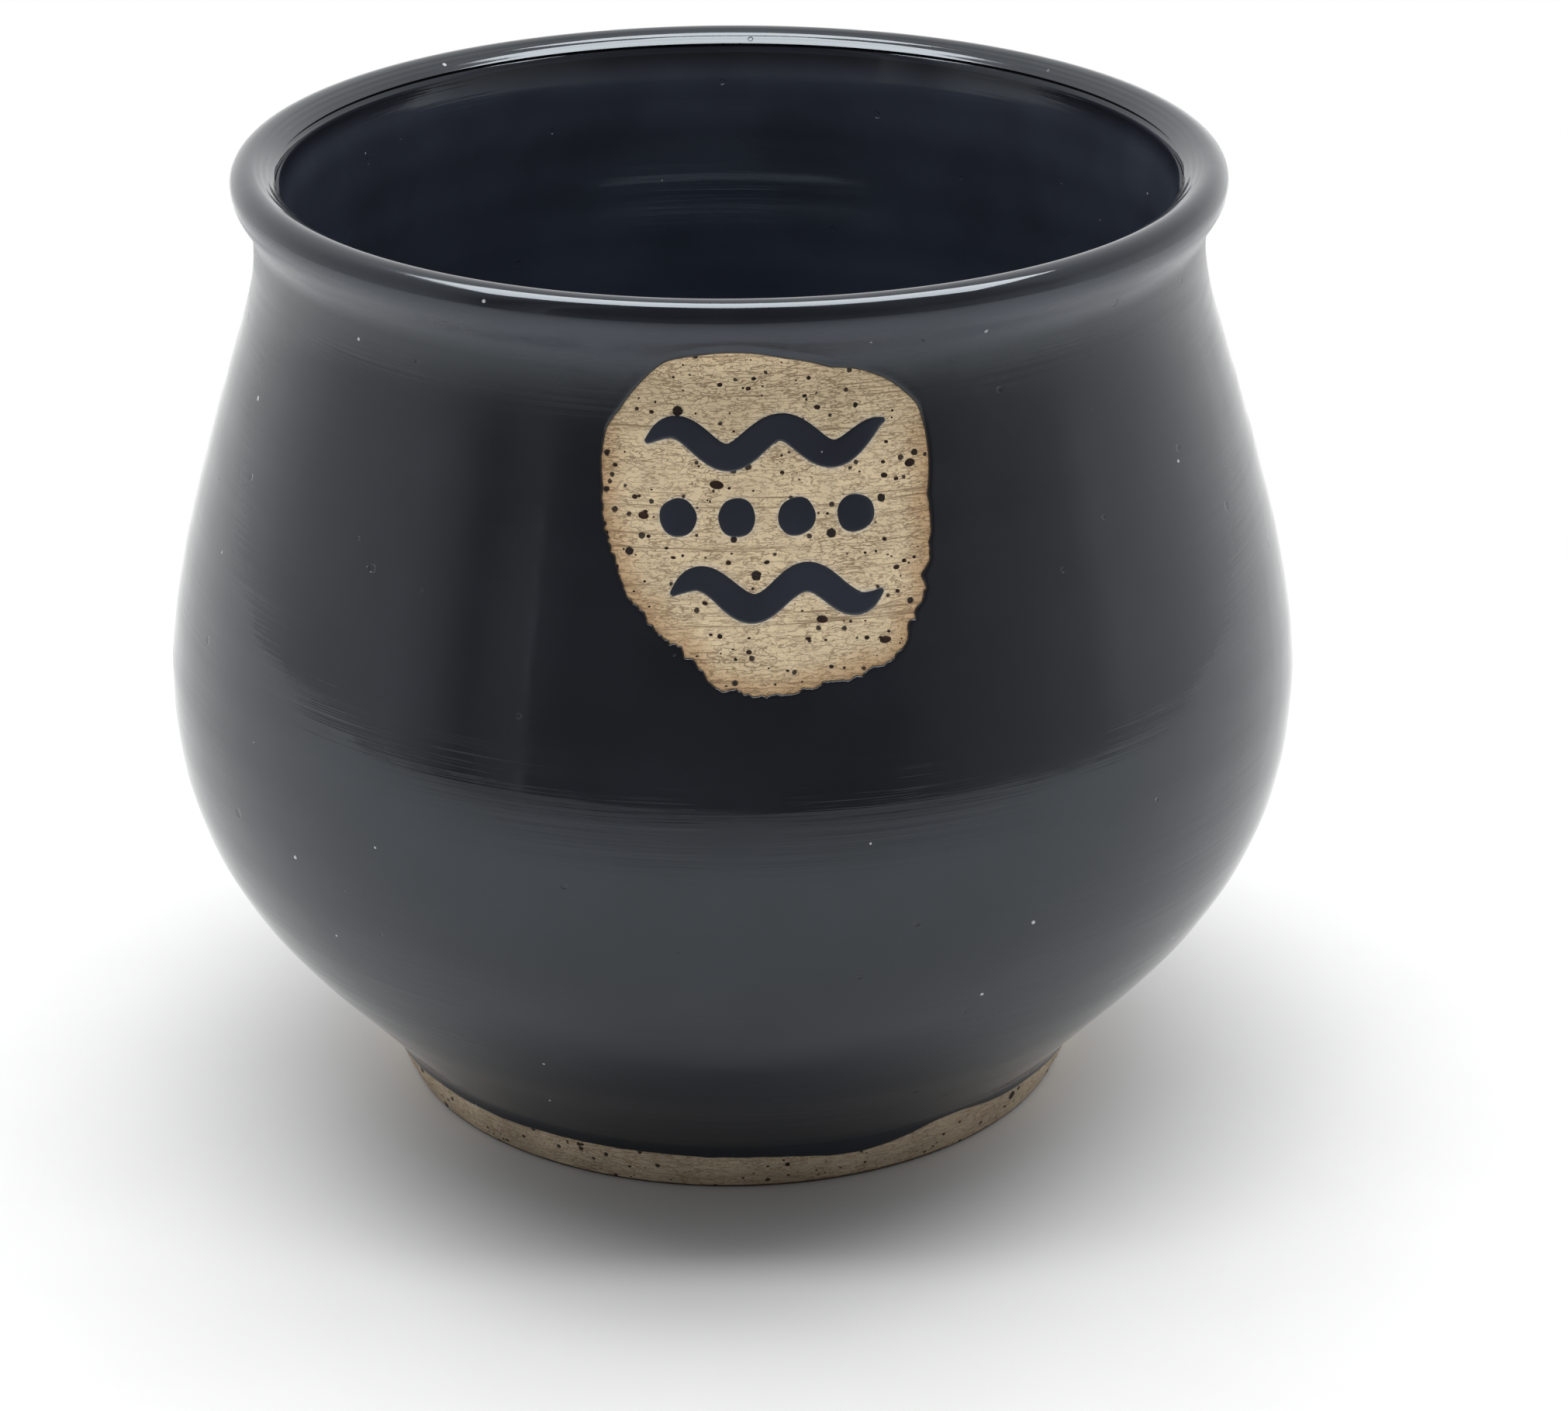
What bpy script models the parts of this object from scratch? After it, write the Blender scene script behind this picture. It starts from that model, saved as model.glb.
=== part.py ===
"""Wheel-thrown stoneware bowl with a dark glaze coat and a bare clay window on its shoulder.

Metres, +Z up. The bowl stands on Z = 0 with its axis on Z, and the window looks along -Y.
The clay is one turned body. The glaze is a skin of even thickness offset from the same profile,
so a change to the clay carries the glaze, the window and the marks in the window along with it.
"""

import math

import bmesh
import bpy
from mathutils import Vector
from mathutils.geometry import interpolate_bezier

# Outside of the clay, from the foot upwards
FOOT_RADIUS = 0.0464
FOOT_WALL = 0.0035
FOOT_EDGE = 0.0006
HIP_OUT = 0.0023
HIP_UP = 0.0051
HIP_LEAN = math.radians(42)
BELLY_RADIUS = 0.0745
BELLY_UP = 0.0477
NECK_RADIUS = 0.0614
NECK_UP = 0.0607
LIP_RADIUS = 0.0632
LIP_UP = 0.0070

# Top of the lip: a round outer edge, a soft slope inwards from it, and the corner where the mouth begins.
# Angles are counted up from straight outwards, and the mouth's flare from upright.
LIP_ROUND = 0.0016
LIP_ROUND_END = math.radians(114)
LIP_SLOPE_ROUND = 0.0097
LIP_CORNER = math.radians(128)
MOUTH_FLARE = math.radians(25)

# Fullness of the curves, as shares of the height that each one climbs
FOOT_FULLNESS = 0.30
FOOT_EASE = 0.40
HIP_FULLNESS = 0.415
LOWER_BELLY_FULLNESS = 0.49
UPPER_BELLY_FULLNESS = 0.31
NECK_FULLNESS = 0.223
COLLAR_FULLNESS = 0.45
LIP_FULLNESS = 0.35

# Thickness of the clay
WALL_AT_NECK = 0.00445
WALL_AT_HIP = 0.0060
FLOOR_THICKNESS = 0.0062
FLOOR_CURVE_HEIGHT = 0.0130
FLOOR_CURVE_DROP = 0.0120
FLOOR_CURVE_REACH = 0.0360

# Trimmed hollow inside the foot ring
FOOT_RING_WIDTH = 0.0065
RECESS_DEPTH = 0.0032
RECESS_DRAFT = 0.0008
RECESS_ROUND = 0.0012

# Glaze, and the gap that keeps it a separate solid
GLAZE_THICKNESS = 0.0005
SEAT_GAP = 0.0003
GLAZE_LINE = 0.0045
SLOW_WAVER = 0.0003
SLOW_WAVER_LOBES = 2
QUICK_WAVER = 0.00015
QUICK_WAVER_LOBES = 5
SHORT_RISE = 0.0016
SHORT_ANGLE = math.radians(-52)
SHORT_SPREAD = math.radians(7)

# Bare window on the shoulder, as seen from the front. Its outline is uneven, as the potter left it:
# each point is a share of half the width and half the height, counter-clockwise from the right.
WINDOW_WIDTH = 0.0382
WINDOW_HEIGHT = 0.0397
WINDOW_SIDE = 0.0038
WINDOW_BELOW_NECK = 0.0167
WINDOW_OUTLINE = (
    (1.00, 0.06),
    (1.00, 0.40),
    (0.95, 0.58),
    (0.78, 0.74),
    (0.59, 0.83),
    (0.40, 0.86),
    (0.12, 0.95),
    (-0.12, 1.00),
    (-0.40, 0.98),
    (-0.59, 0.93),
    (-0.76, 0.77),
    (-0.88, 0.61),
    (-0.97, 0.49),
    (-1.00, 0.30),
    (-0.99, 0.12),
    (-0.96, -0.10),
    (-0.89, -0.29),
    (-0.80, -0.49),
    (-0.68, -0.61),
    (-0.56, -0.72),
    (-0.42, -0.82),
    (-0.30, -0.95),
    (0.06, -1.00),
    (0.35, -0.95),
    (0.64, -0.90),
    (0.79, -0.84),
    (0.90, -0.64),
    (0.96, -0.50),
    (1.00, -0.20),
)

# Marks of glaze in the window: two waves with a row of dots between them
MARK_MARGIN = 0.0050
WAVE_WIDTH = 0.0034
WAVE_TIP = 0.3
WAVE_HEIGHT = 0.0017
WAVE_LENGTH = 0.0125
WAVE_SPACING = 0.0170
DOT_RADIUS = 0.0022
DOT_COUNT = 4

# Fineness of the faceted surfaces
TURN_STEPS = 48
FOOT_STEPS = 3
BELLY_STEPS = 6
SHOULDER_STEPS = 6
COLLAR_STEPS = 3
LIP_STEPS = 5
SLOPE_STEPS = 2
FLOOR_STEPS = 6
EDGE_STEPS = 2
WAVE_STEPS = 22
DOT_STEPS = 14

WELD = 0.00001
CUTTER_REACH = 0.0015
UP = Vector((0, 1))


def up_along(lean):
    """A unit step up the wall where it leans outwards by an angle from upright."""
    return Vector((math.sin(lean), math.cos(lean)))


def curve(start, leave, arrive, end, steps):
    """Points of a smooth curve after its start. leave and arrive are its two handles."""
    points = interpolate_bezier(start, start + leave, end + arrive, end, steps + 1)
    return [Vector((point.x, point.y)) for point in points[1:]]


def arc(centre, radius_out, radius_up, first, last, steps):
    """Points of an elliptical arc, both ends included. Angles are counted up from straight outwards."""
    angles = [first + (last - first) * i / steps for i in range(steps + 1)]
    return [centre + Vector((radius_out * math.cos(a), radius_up * math.sin(a))) for a in angles]


def face_normal(start, end):
    """The direction out of the clay, for a profile that climbs its outside and comes down its inside."""
    run = end - start
    return Vector((run.y, -run.x)).normalized()


def offset(path, first, last=None):
    """The path moved out of the clay by a distance, which may change evenly from its first point to its last."""
    last = first if last is None else last
    moved = []
    for i, point in enumerate(path):
        before = face_normal(path[i - 1], point) if i else face_normal(point, path[1])
        after = face_normal(point, path[i + 1]) if i + 1 < len(path) else before
        middle = (before + after).normalized()
        distance = first + (last - first) * i / (len(path) - 1)
        if point.x < WELD:
            moved.append(point + UP * distance)
        else:
            moved.append(point + middle * distance / middle.dot(before))
    return moved


def hip_point():
    return Vector((FOOT_RADIUS + HIP_OUT, FOOT_WALL + HIP_UP))


def belly_height():
    return hip_point().y + BELLY_UP


def neck_height():
    return belly_height() + NECK_UP


def floor_height():
    return RECESS_DEPTH + FLOOR_THICKNESS


def belly_wall():
    """Outside of the clay from the hip, past the belly, to the neck."""
    hip = hip_point()
    belly = Vector((BELLY_RADIUS, belly_height()))
    neck = Vector((NECK_RADIUS, neck_height()))
    lower = curve(
        hip,
        up_along(HIP_LEAN) * BELLY_UP * HIP_FULLNESS,
        -UP * BELLY_UP * LOWER_BELLY_FULLNESS,
        belly,
        BELLY_STEPS,
    )
    upper = curve(
        belly,
        UP * NECK_UP * UPPER_BELLY_FULLNESS,
        -UP * NECK_UP * NECK_FULLNESS,
        neck,
        SHOULDER_STEPS,
    )
    return [hip] + lower + upper


def foot_wall():
    """Outside of the foot ring from its bottom edge to just under the hip."""
    top = Vector((FOOT_RADIUS, FOOT_WALL))
    hip = hip_point()
    fillet = curve(top, UP * HIP_UP * FOOT_FULLNESS, -up_along(HIP_LEAN) * HIP_UP * FOOT_EASE, hip, FOOT_STEPS)
    return [Vector((FOOT_RADIUS, FOOT_EDGE)), top] + fillet[:-1]


def lip_top():
    """The flare from the neck out to the lip, the lip's round edge, and its slope in to the mouth's corner."""
    neck = Vector((NECK_RADIUS, neck_height()))
    edge = Vector((LIP_RADIUS, neck_height() + LIP_UP))
    flare = curve(neck, UP * LIP_UP * COLLAR_FULLNESS, -UP * LIP_UP * LIP_FULLNESS, edge, COLLAR_STEPS)
    centre = edge - Vector((LIP_ROUND, 0))
    turn = arc(centre, LIP_ROUND, LIP_ROUND, 0, LIP_ROUND_END, LIP_STEPS)
    outwards = (turn[-1] - centre).normalized()
    centre = turn[-1] - outwards * LIP_SLOPE_ROUND
    slope = arc(centre, LIP_SLOPE_ROUND, LIP_SLOPE_ROUND, LIP_ROUND_END, LIP_CORNER, SLOPE_STEPS)
    return flare + turn[1:] + slope[1:]


def inside():
    """Inside of the clay from under the lip down to the middle of the floor."""
    wall = offset(belly_wall(), -WALL_AT_HIP, -WALL_AT_NECK)
    wall.reverse()
    flare = curve(
        lip_top()[-1],
        -up_along(MOUTH_FLARE) * LIP_UP * LIP_FULLNESS,
        UP * LIP_UP * COLLAR_FULLNESS,
        wall[0],
        COLLAR_STEPS,
    )
    kept = [point for point in wall[1:] if point.y > floor_height() + FLOOR_CURVE_HEIGHT]
    downwards = (kept[-1] - kept[-2]).normalized()
    floor = curve(
        kept[-1],
        downwards * FLOOR_CURVE_DROP,
        Vector((FLOOR_CURVE_REACH, 0)),
        Vector((0, floor_height())),
        FLOOR_STEPS,
    )
    return flare + kept + floor


def coated_path():
    """All of the clay that the dip reaches: up the outside, over the lip and down to the floor's middle."""
    return foot_wall() + belly_wall() + lip_top() + inside()


def under_foot():
    """From the foot's bottom edge under the ring and into the trimmed hollow, to the axis."""
    edge_centre = Vector((FOOT_RADIUS - FOOT_EDGE, FOOT_EDGE))
    edge = arc(edge_centre, FOOT_EDGE, FOOT_EDGE, 0, -math.pi / 2, EDGE_STEPS)[1:]
    ring_inner = FOOT_RADIUS - FOOT_RING_WIDTH
    round_centre = Vector((ring_inner - RECESS_DRAFT - RECESS_ROUND, RECESS_DEPTH - RECESS_ROUND))
    corner = arc(round_centre, RECESS_ROUND, RECESS_ROUND, 0, math.pi / 2, EDGE_STEPS)
    return edge + [Vector((ring_inner, 0))] + corner + [Vector((0, RECESS_DEPTH))]


def collection(name):
    group = bpy.data.collections.new(name)
    bpy.context.scene.collection.children.link(group)
    return group


def material(name, colour, roughness):
    surface = bpy.data.materials.new(name)
    surface.use_nodes = True
    shader = surface.node_tree.nodes["Principled BSDF"]
    shader.inputs["Base Color"].default_value = (*colour, 1)
    shader.inputs["Roughness"].default_value = roughness
    shader.inputs["Metallic"].default_value = 0
    return surface


def turned(name, profile, group, closed=False):
    """A body turned about Z. The profile runs down its outer side, from top to bottom."""
    mesh = bpy.data.meshes.new(name)
    edges = [(i, i + 1) for i in range(len(profile) - 1)]
    if closed:
        edges.append((len(profile) - 1, 0))
    mesh.from_pydata([(point.x, 0, point.y) for point in profile], edges, [])
    body = bpy.data.objects.new(name, mesh)
    group.objects.link(body)
    screw = body.modifiers.new("turn", "SCREW")
    screw.steps = TURN_STEPS
    screw.render_steps = TURN_STEPS
    screw.use_merge_vertices = True
    screw.merge_threshold = WELD
    screw.use_smooth_shade = True
    return body


def as_cutter(body):
    body.hide_render = True
    body.display_type = "WIRE"
    return body


def boolean(body, operation, other):
    cut = body.modifiers.new(f"{operation.lower()} {other.name}", "BOOLEAN")
    cut.operation = operation
    cut.solver = "EXACT"
    cut.object = other


def front_prism(name, outline, group):
    """A flat outline, as seen from the front, run back from well before the bowl to its axis."""
    flat = bpy.data.curves.new(name, "CURVE")
    flat.dimensions = "2D"
    flat.fill_mode = "BOTH"
    flat.extrude = BELLY_RADIUS
    spline = flat.splines.new("POLY")
    spline.points.add(len(outline) - 1)
    for point, place in zip(spline.points, outline):
        point.co = (place.x, place.y, 0, 1)
    spline.use_cyclic_u = True
    drawn = bpy.data.objects.new(name, flat)
    group.objects.link(drawn)
    drawn.location = (0, -BELLY_RADIUS, 0)
    drawn.rotation_euler = (math.pi / 2, 0, 0)
    bpy.context.view_layer.update()
    evaluated = drawn.evaluated_get(bpy.context.evaluated_depsgraph_get())
    mesh = bpy.data.meshes.new_from_object(evaluated)
    prism = bpy.data.objects.new(name, mesh)
    group.objects.link(prism)
    prism.matrix_world = drawn.matrix_world.copy()
    bpy.data.objects.remove(drawn)
    welder = bmesh.new()
    welder.from_mesh(mesh)
    bmesh.ops.remove_doubles(welder, verts=welder.verts, dist=WELD)
    bmesh.ops.recalc_face_normals(welder, faces=welder.faces)
    welder.to_mesh(mesh)
    welder.free()
    return as_cutter(prism)


def skin_ring(name, depth, height, group):
    """The outside of the wall from hip to lip, between two offsets from the clay, as a closed ring."""
    wall = belly_wall() + lip_top()[:COLLAR_STEPS]
    outside = list(reversed(offset(wall, height)))
    return turned(name, outside + offset(wall, depth), group, closed=True)


def window_centre():
    return Vector((WINDOW_SIDE, neck_height() - WINDOW_BELOW_NECK))


def window_outline():
    half = Vector((WINDOW_WIDTH / 2, WINDOW_HEIGHT / 2))
    return [window_centre() + Vector(share) * half for share in WINDOW_OUTLINE]


def window_sides(height):
    """Left and right ends of the window at a height above its centre."""
    level = window_centre().y + height
    outline = window_outline()
    ends = []
    for start, end in zip(outline, outline[1:] + outline[:1]):
        if (start.y > level) != (end.y > level):
            ends.append(start.lerp(end, (level - start.y) / (end.y - start.y)).x)
    return min(ends), max(ends)


def glaze_line(angle):
    """Height of the glaze's lower edge around the foot. It wavers, and in one place it stops short."""
    slow = SLOW_WAVER * math.sin(SLOW_WAVER_LOBES * angle)
    quick = QUICK_WAVER * math.cos(QUICK_WAVER_LOBES * angle)
    away = (angle - SHORT_ANGLE) / SHORT_SPREAD
    return GLAZE_LINE + slow + quick + SHORT_RISE * math.exp(-away * away)


def dip_cutter(group):
    """A flat ring around the foot whose upper side follows the glaze line."""
    shape = bmesh.new()
    inner = FOOT_RADIUS - FOOT_RING_WIDTH
    low = -CUTTER_REACH
    corners = [(inner, low), (BELLY_RADIUS, low), (BELLY_RADIUS, GLAZE_LINE), (inner, GLAZE_LINE)]
    points = [shape.verts.new((radius, 0, height)) for radius, height in corners]
    loop = [shape.edges.new((points[i - 1], points[i])) for i in range(len(points))]
    bmesh.ops.spin(
        shape,
        geom=points + loop,
        axis=(0, 0, 1),
        cent=(0, 0, 0),
        angle=2 * math.pi,
        steps=2 * TURN_STEPS,
        use_merge=True,
    )
    for vert in shape.verts:
        if vert.co.z > 0:
            vert.co.z = glaze_line(math.atan2(vert.co.y, vert.co.x))
    bmesh.ops.recalc_face_normals(shape, faces=shape.faces)
    mesh = bpy.data.meshes.new("dip_line")
    shape.to_mesh(mesh)
    shape.free()
    ring = bpy.data.objects.new("dip_line", mesh)
    group.objects.link(ring)
    return as_cutter(ring)


def stoneware_body(group, clay):
    """Wall, lip, floor and foot ring, thrown and trimmed from one piece of clay."""
    downwards = list(reversed(coated_path()))
    body = turned("stoneware_body", downwards + under_foot(), group)
    body.data.materials.append(clay)


def glaze_coat(group, cutters, glaze):
    """The glaze over the whole pot but its foot and its window."""
    path = coated_path()
    outer = offset(path, SEAT_GAP + GLAZE_THICKNESS)
    inner = offset(path, SEAT_GAP)
    coat = turned("glaze_coat", list(reversed(outer)) + inner, group)
    coat.data.materials.append(glaze)
    boolean(coat, "DIFFERENCE", dip_cutter(cutters))
    window = front_prism("window", window_outline(), cutters)
    zone = skin_ring("window_zone", SEAT_GAP / 2, SEAT_GAP + GLAZE_THICKNESS + CUTTER_REACH, cutters)
    boolean(window, "INTERSECT", as_cutter(zone))
    boolean(coat, "DIFFERENCE", window)


def glaze_mark(name, outline, group, cutters, glaze):
    """One island of glaze on the bare clay, as thick as the coat around the window."""
    mark = skin_ring(name, SEAT_GAP, SEAT_GAP + GLAZE_THICKNESS, group)
    boolean(mark, "INTERSECT", front_prism(f"{name}_outline", outline, cutters))
    mark.data.materials.append(glaze)


def wave_outline(height):
    """A brushed wave across the window at a height above its centre. It thins out at both ends."""
    left, right = window_sides(height)
    left += MARK_MARGIN
    right -= MARK_MARGIN
    level = window_centre().y + height
    top, bottom = [], []
    for i in range(WAVE_STEPS + 1):
        share = i / WAVE_STEPS
        across = left + (right - left) * share
        middle = level + WAVE_HEIGHT * math.sin(2 * math.pi * (across - left) / WAVE_LENGTH)
        half = WAVE_WIDTH / 2 * math.sqrt(max(WAVE_TIP**2, 1 - (2 * share - 1) ** 4))
        top.append(Vector((across, middle + half)))
        bottom.append(Vector((across, middle - half)))
    return bottom + list(reversed(top))


def dot_outline(number):
    """One of the dots spread evenly along the window's middle line."""
    left, right = window_sides(0)
    step = (right - left - 2 * MARK_MARGIN) / DOT_COUNT
    centre = Vector((left + MARK_MARGIN + step * (number + 0.5), window_centre().y))
    return arc(centre, DOT_RADIUS, DOT_RADIUS, 0, 2 * math.pi, DOT_STEPS)[1:]


def build():
    for left_over in list(bpy.data.objects):
        bpy.data.objects.remove(left_over)
    bowl = collection("bowl")
    cutters = collection("cutters")
    clay = material("speckled_clay", (0.58, 0.44, 0.27), 0.75)
    glaze = material("dark_glaze", (0.008, 0.010, 0.014), 0.08)
    stoneware_body(bowl, clay)
    glaze_coat(bowl, cutters, glaze)
    for name, height in (("glaze_wave_upper", WAVE_SPACING / 2), ("glaze_wave_lower", -WAVE_SPACING / 2)):
        glaze_mark(name, wave_outline(height), bowl, cutters, glaze)
    for number in range(DOT_COUNT):
        glaze_mark(f"glaze_dot_{number + 1}", dot_outline(number), bowl, cutters, glaze)


build()
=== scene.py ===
"""Looks of a wheel-thrown stoneware bowl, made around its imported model.

Metres, +Z up. The bowl stands on Z = 0 with its axis on Z, and its bare window looks along -Y.
The clay, the glaze, the brushed marks and the iron spots all take their places from one turned
outline, and all go through the same last touch, which leaves the pot as slightly uneven as a hand does.
"""

import math

import bmesh
import bpy
import numpy as np
from bpy.props import FloatProperty, FloatVectorProperty, IntProperty, PointerProperty
from mathutils import Matrix, Vector, noise
from mathutils.geometry import interpolate_bezier


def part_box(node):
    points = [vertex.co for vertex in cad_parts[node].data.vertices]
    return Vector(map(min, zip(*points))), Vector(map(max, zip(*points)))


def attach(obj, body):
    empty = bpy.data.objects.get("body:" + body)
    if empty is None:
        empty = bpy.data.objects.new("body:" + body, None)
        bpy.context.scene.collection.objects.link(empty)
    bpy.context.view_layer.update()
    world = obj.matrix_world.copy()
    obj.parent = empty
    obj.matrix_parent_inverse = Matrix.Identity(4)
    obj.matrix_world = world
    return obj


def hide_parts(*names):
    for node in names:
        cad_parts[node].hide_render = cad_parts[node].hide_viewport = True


bl_info = {
    "name": "Stoneware bowl",
    "version": (1, 0, 0),
    "blender": (4, 5, 0),
    "location": "View3D > Sidebar > Bowl",
    "description": "Finishes a thrown bowl: clay, glaze, brushed marks, iron spots and a small studio",
    "category": "Add Mesh",
}

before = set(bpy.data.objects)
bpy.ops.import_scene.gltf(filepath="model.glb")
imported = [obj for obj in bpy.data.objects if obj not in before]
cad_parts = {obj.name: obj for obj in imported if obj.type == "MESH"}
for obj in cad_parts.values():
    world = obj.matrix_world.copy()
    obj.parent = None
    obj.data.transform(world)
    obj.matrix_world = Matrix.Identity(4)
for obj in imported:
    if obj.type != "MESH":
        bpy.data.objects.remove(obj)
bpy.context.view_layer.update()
BODY = "root"
FRONT = -math.pi / 2
UP = Vector((0, 1))


# Sizes and colours that a user would change


def length(name, description, default):
    return FloatProperty(name=name, description=description, default=default, unit="LENGTH", precision=5)


def angle(name, description, default):
    return FloatProperty(name=name, description=description, default=math.radians(default), unit="ROTATION")


def share(name, description, default):
    return FloatProperty(name=name, description=description, default=default, min=0, max=1, subtype="FACTOR")


def power(name, description, default):
    return FloatProperty(name=name, description=description, default=default, unit="POWER")


def colour(name, description, default):
    return FloatVectorProperty(
        name=name, description=description, default=default, size=3, min=0, max=1, subtype="COLOR"
    )


class ClaySizes(bpy.types.PropertyGroup):
    """The turned shape of the clay"""

    foot_radius: length("Foot radius", "Outside of the foot ring at its bottom", 0.0455)
    foot_out: length("Foot out", "How far the foot wall leans out towards its top", 0.0012)
    foot_wall: length("Foot wall", "Height of the foot ring's straight wall", 0.0035)
    foot_edge: length("Foot edge", "Rounding of the foot's bottom edge", 0.0006)
    hip_out: length("Hip out", "How far the hip stands out from the foot wall", 0.0020)
    hip_up: length("Hip up", "Height of the hip above the foot wall", 0.0051)
    hip_lean: angle("Hip lean", "Lean of the wall where the belly starts", 42)
    belly_radius: length("Belly radius", "Widest radius of the clay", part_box("stoneware_body")[1].x)
    belly_up: length("Belly up", "Height of the widest place above the hip", 0.0477)
    neck_radius: length("Neck radius", "Narrowest radius of the neck", 0.0614)
    neck_up: length("Neck up", "Height of the neck above the belly", 0.0607)
    lip_radius: length("Lip radius", "Outer radius of the lip", 0.0634)
    lip_up: length("Lip up", "Height of the lip's widest place above the neck", 0.0070)
    lip_round: length("Lip round", "Rounding of the lip's outer edge", 0.0016)
    lip_round_end: angle("Lip round end", "How far round the outer edge the lip's slope starts", 114)
    lip_slope_round: length("Lip slope round", "Rounding of the slope into the mouth", 0.0097)
    lip_corner: angle("Lip corner", "Direction of the slope where it meets the mouth", 131)
    mouth_flare: angle("Mouth flare", "Lean of the inner wall under the lip's corner", 9)
    wall_at_neck: length("Wall at neck", "Clay thickness at the neck", 0.0036)
    wall_at_hip: length("Wall at hip", "Clay thickness at the hip", 0.0060)
    floor_height: length("Floor height", "Top of the clay floor at its middle", 0.0094)
    floor_curve_top: length("Floor curve top", "Height at which the wall turns into the floor", 0.0224)
    ring_width: length("Ring width", "Width of the foot ring", 0.0056)
    recess_depth: length("Recess depth", "Depth of the trimmed hollow under the foot", 0.0032)
    recess_draft: length("Recess draft", "How far the hollow narrows towards its top", 0.0008)
    recess_round: length("Recess round", "Rounding at the hollow's corner", 0.0012)


class GlazeSizes(bpy.types.PropertyGroup):
    """The glaze on the clay"""

    top: length("Top", "Height of the glaze above the turned clay", 0.0008)
    back: length("Back", "Height of the glaze's hidden side above the turned clay", 0.00030)
    fill: length("Fill", "Clay skin under the glaze, above the turned clay", 0.00024)
    bare: length("Bare", "Clay skin in the window, nearly flush with the glaze", 0.00056)
    line: length("Line", "Height of the glaze's lower edge", 0.0059)
    short_rise: length("Short rise", "How much higher the glaze stops in one place", 0.0014)
    short_angle: angle("Short angle", "Where the glaze stops short", -56)
    run_drop: length("Run drop", "How much lower the glaze has run beside that place", 0.0011)
    rolled_edge: length("Rolled edge", "Width over which an edge of glaze rounds off", 0.00042)
    bead: length("Bead", "How much a pooled edge stands proud", 0.00001)
    ledge: length("Ledge", "How much the glaze piles up above the window", 0.00013)


class WindowSizes(bpy.types.PropertyGroup):
    """The bare window on the shoulder, as seen from the front"""

    width: length("Width", "Width of the window", 0.0382)
    height: length("Height", "Height of the window", 0.0397)
    side: length("Side", "How far its middle lies to the right", 0.0038)
    below_neck: length("Below neck", "How far its middle lies below the neck", 0.0167)
    ragged: length("Ragged", "Depth of the torn lower edge", 0.0006)


class MarkSizes(bpy.types.PropertyGroup):
    """The brushed waves and dots in the window"""

    margin: length("Margin", "Bare clay at each end of a row", 0.0050)
    wave_width: length("Wave width", "Width of a brushed wave", 0.0034)
    wave_height: length("Wave height", "How far a wave swings up and down", 0.0017)
    wave_length: length("Wave length", "Length of one swing", 0.0125)
    wave_spacing: length("Wave spacing", "Distance between the two waves", 0.0170)
    dot_radius: length("Dot radius", "Radius of a dot", 0.0022)
    dot_count: IntProperty(name="Dots", description="Number of dots in the row", default=4, min=1)


class BowlColours(bpy.types.PropertyGroup):
    """Colours of the clay and the glaze"""

    glaze: colour("Glaze", "Deep blue-black glaze", (0.0112, 0.0122, 0.0168))
    # Inside the bowl this lighter colour is painted light that lifts the shade there, and under the lip it is
    # a painted reflection; in the brushed marks it is their own milky slate.
    pooled: colour("Pooled glaze", "Thicker, slightly milky glaze inside the bowl", (0.085, 0.100, 0.138))
    thin_glaze: colour("Thin glaze", "Glaze where it thins over an edge", (0.030, 0.022, 0.017))
    clay: colour("Clay", "Bare fired clay", (0.90, 0.73, 0.48))
    toasted: colour("Toasted clay", "Clay that the fire flashed beside the glaze", (0.53, 0.285, 0.120))
    # Clay below the foot's top: darker and greyer than the window's clay.
    foot: colour("Foot clay", "Trimmed and rubbed clay at the foot", (0.58, 0.480, 0.345))
    # The iron colour also paints the contact shadow along the foot's bottom edge.
    iron: colour("Iron", "Iron melted out of the clay", (0.018, 0.009, 0.006))


class StudioSettings(bpy.types.PropertyGroup):
    """Table, lamps and camera"""

    table_left: length("Table left", "Left end of the pale table top", -0.62)
    table_right: length("Table right", "Right end of the pale table top", 0.46)
    table_front: length("Table front", "Front edge of the pale table top", -0.72)
    table_back: length("Table back", "Back edge of the pale table top", 2.40)
    lamp_height: length("Lamp height", "Height of the long soft box above the table", 1.10)
    lamp_length: length("Lamp length", "Length of the soft box", 1.45)
    lamp_depth: length("Lamp depth", "Depth of its lit core", 0.20)
    lamp_back: length("Lamp back", "How far the core hangs behind the bowl", -0.22)
    lamp_power: power("Lamp power", "Power of the core", 4.9)
    glare_depth: length("Glare depth", "Depth of the whole soft box in the glaze's reflection", 0.55)
    glare_back: length("Glare back", "How far the whole box hangs behind the bowl", 0.10)
    glare_power: power("Glare power", "Power of that reflection", 25)
    room_light: share("Room light", "Level of the light from all around", 1.0)
    camera_distance: length("Camera distance", "Level distance from the bowl's axis", 0.5310)
    camera_height: length("Camera height", "Height above the table", 0.2806)
    camera_pitch: angle("Camera pitch", "How far it looks down", 23.645)
    camera_yaw: angle("Camera yaw", "How far it looks past the bowl, to the right", 0.735)
    camera_roll: angle("Camera roll", "Tilt of the camera", -0.166)
    camera_lens: FloatProperty(name="Lens", description="Focal length on a 36 mm wide sensor", default=97.923)


# Curve fullness, as shares of the height that each curve climbs
FOOT_FULLNESS = 0.30
FOOT_EASE = 0.40
HIP_FULLNESS = 0.415
LOWER_BELLY_FULLNESS = 0.49
UPPER_BELLY_FULLNESS = 0.31
NECK_FULLNESS = 0.223
COLLAR_FULLNESS = 0.45
LIP_FULLNESS = 0.35
FLOOR_DROP = 0.0120
FLOOR_REACH = 0.0360

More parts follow.
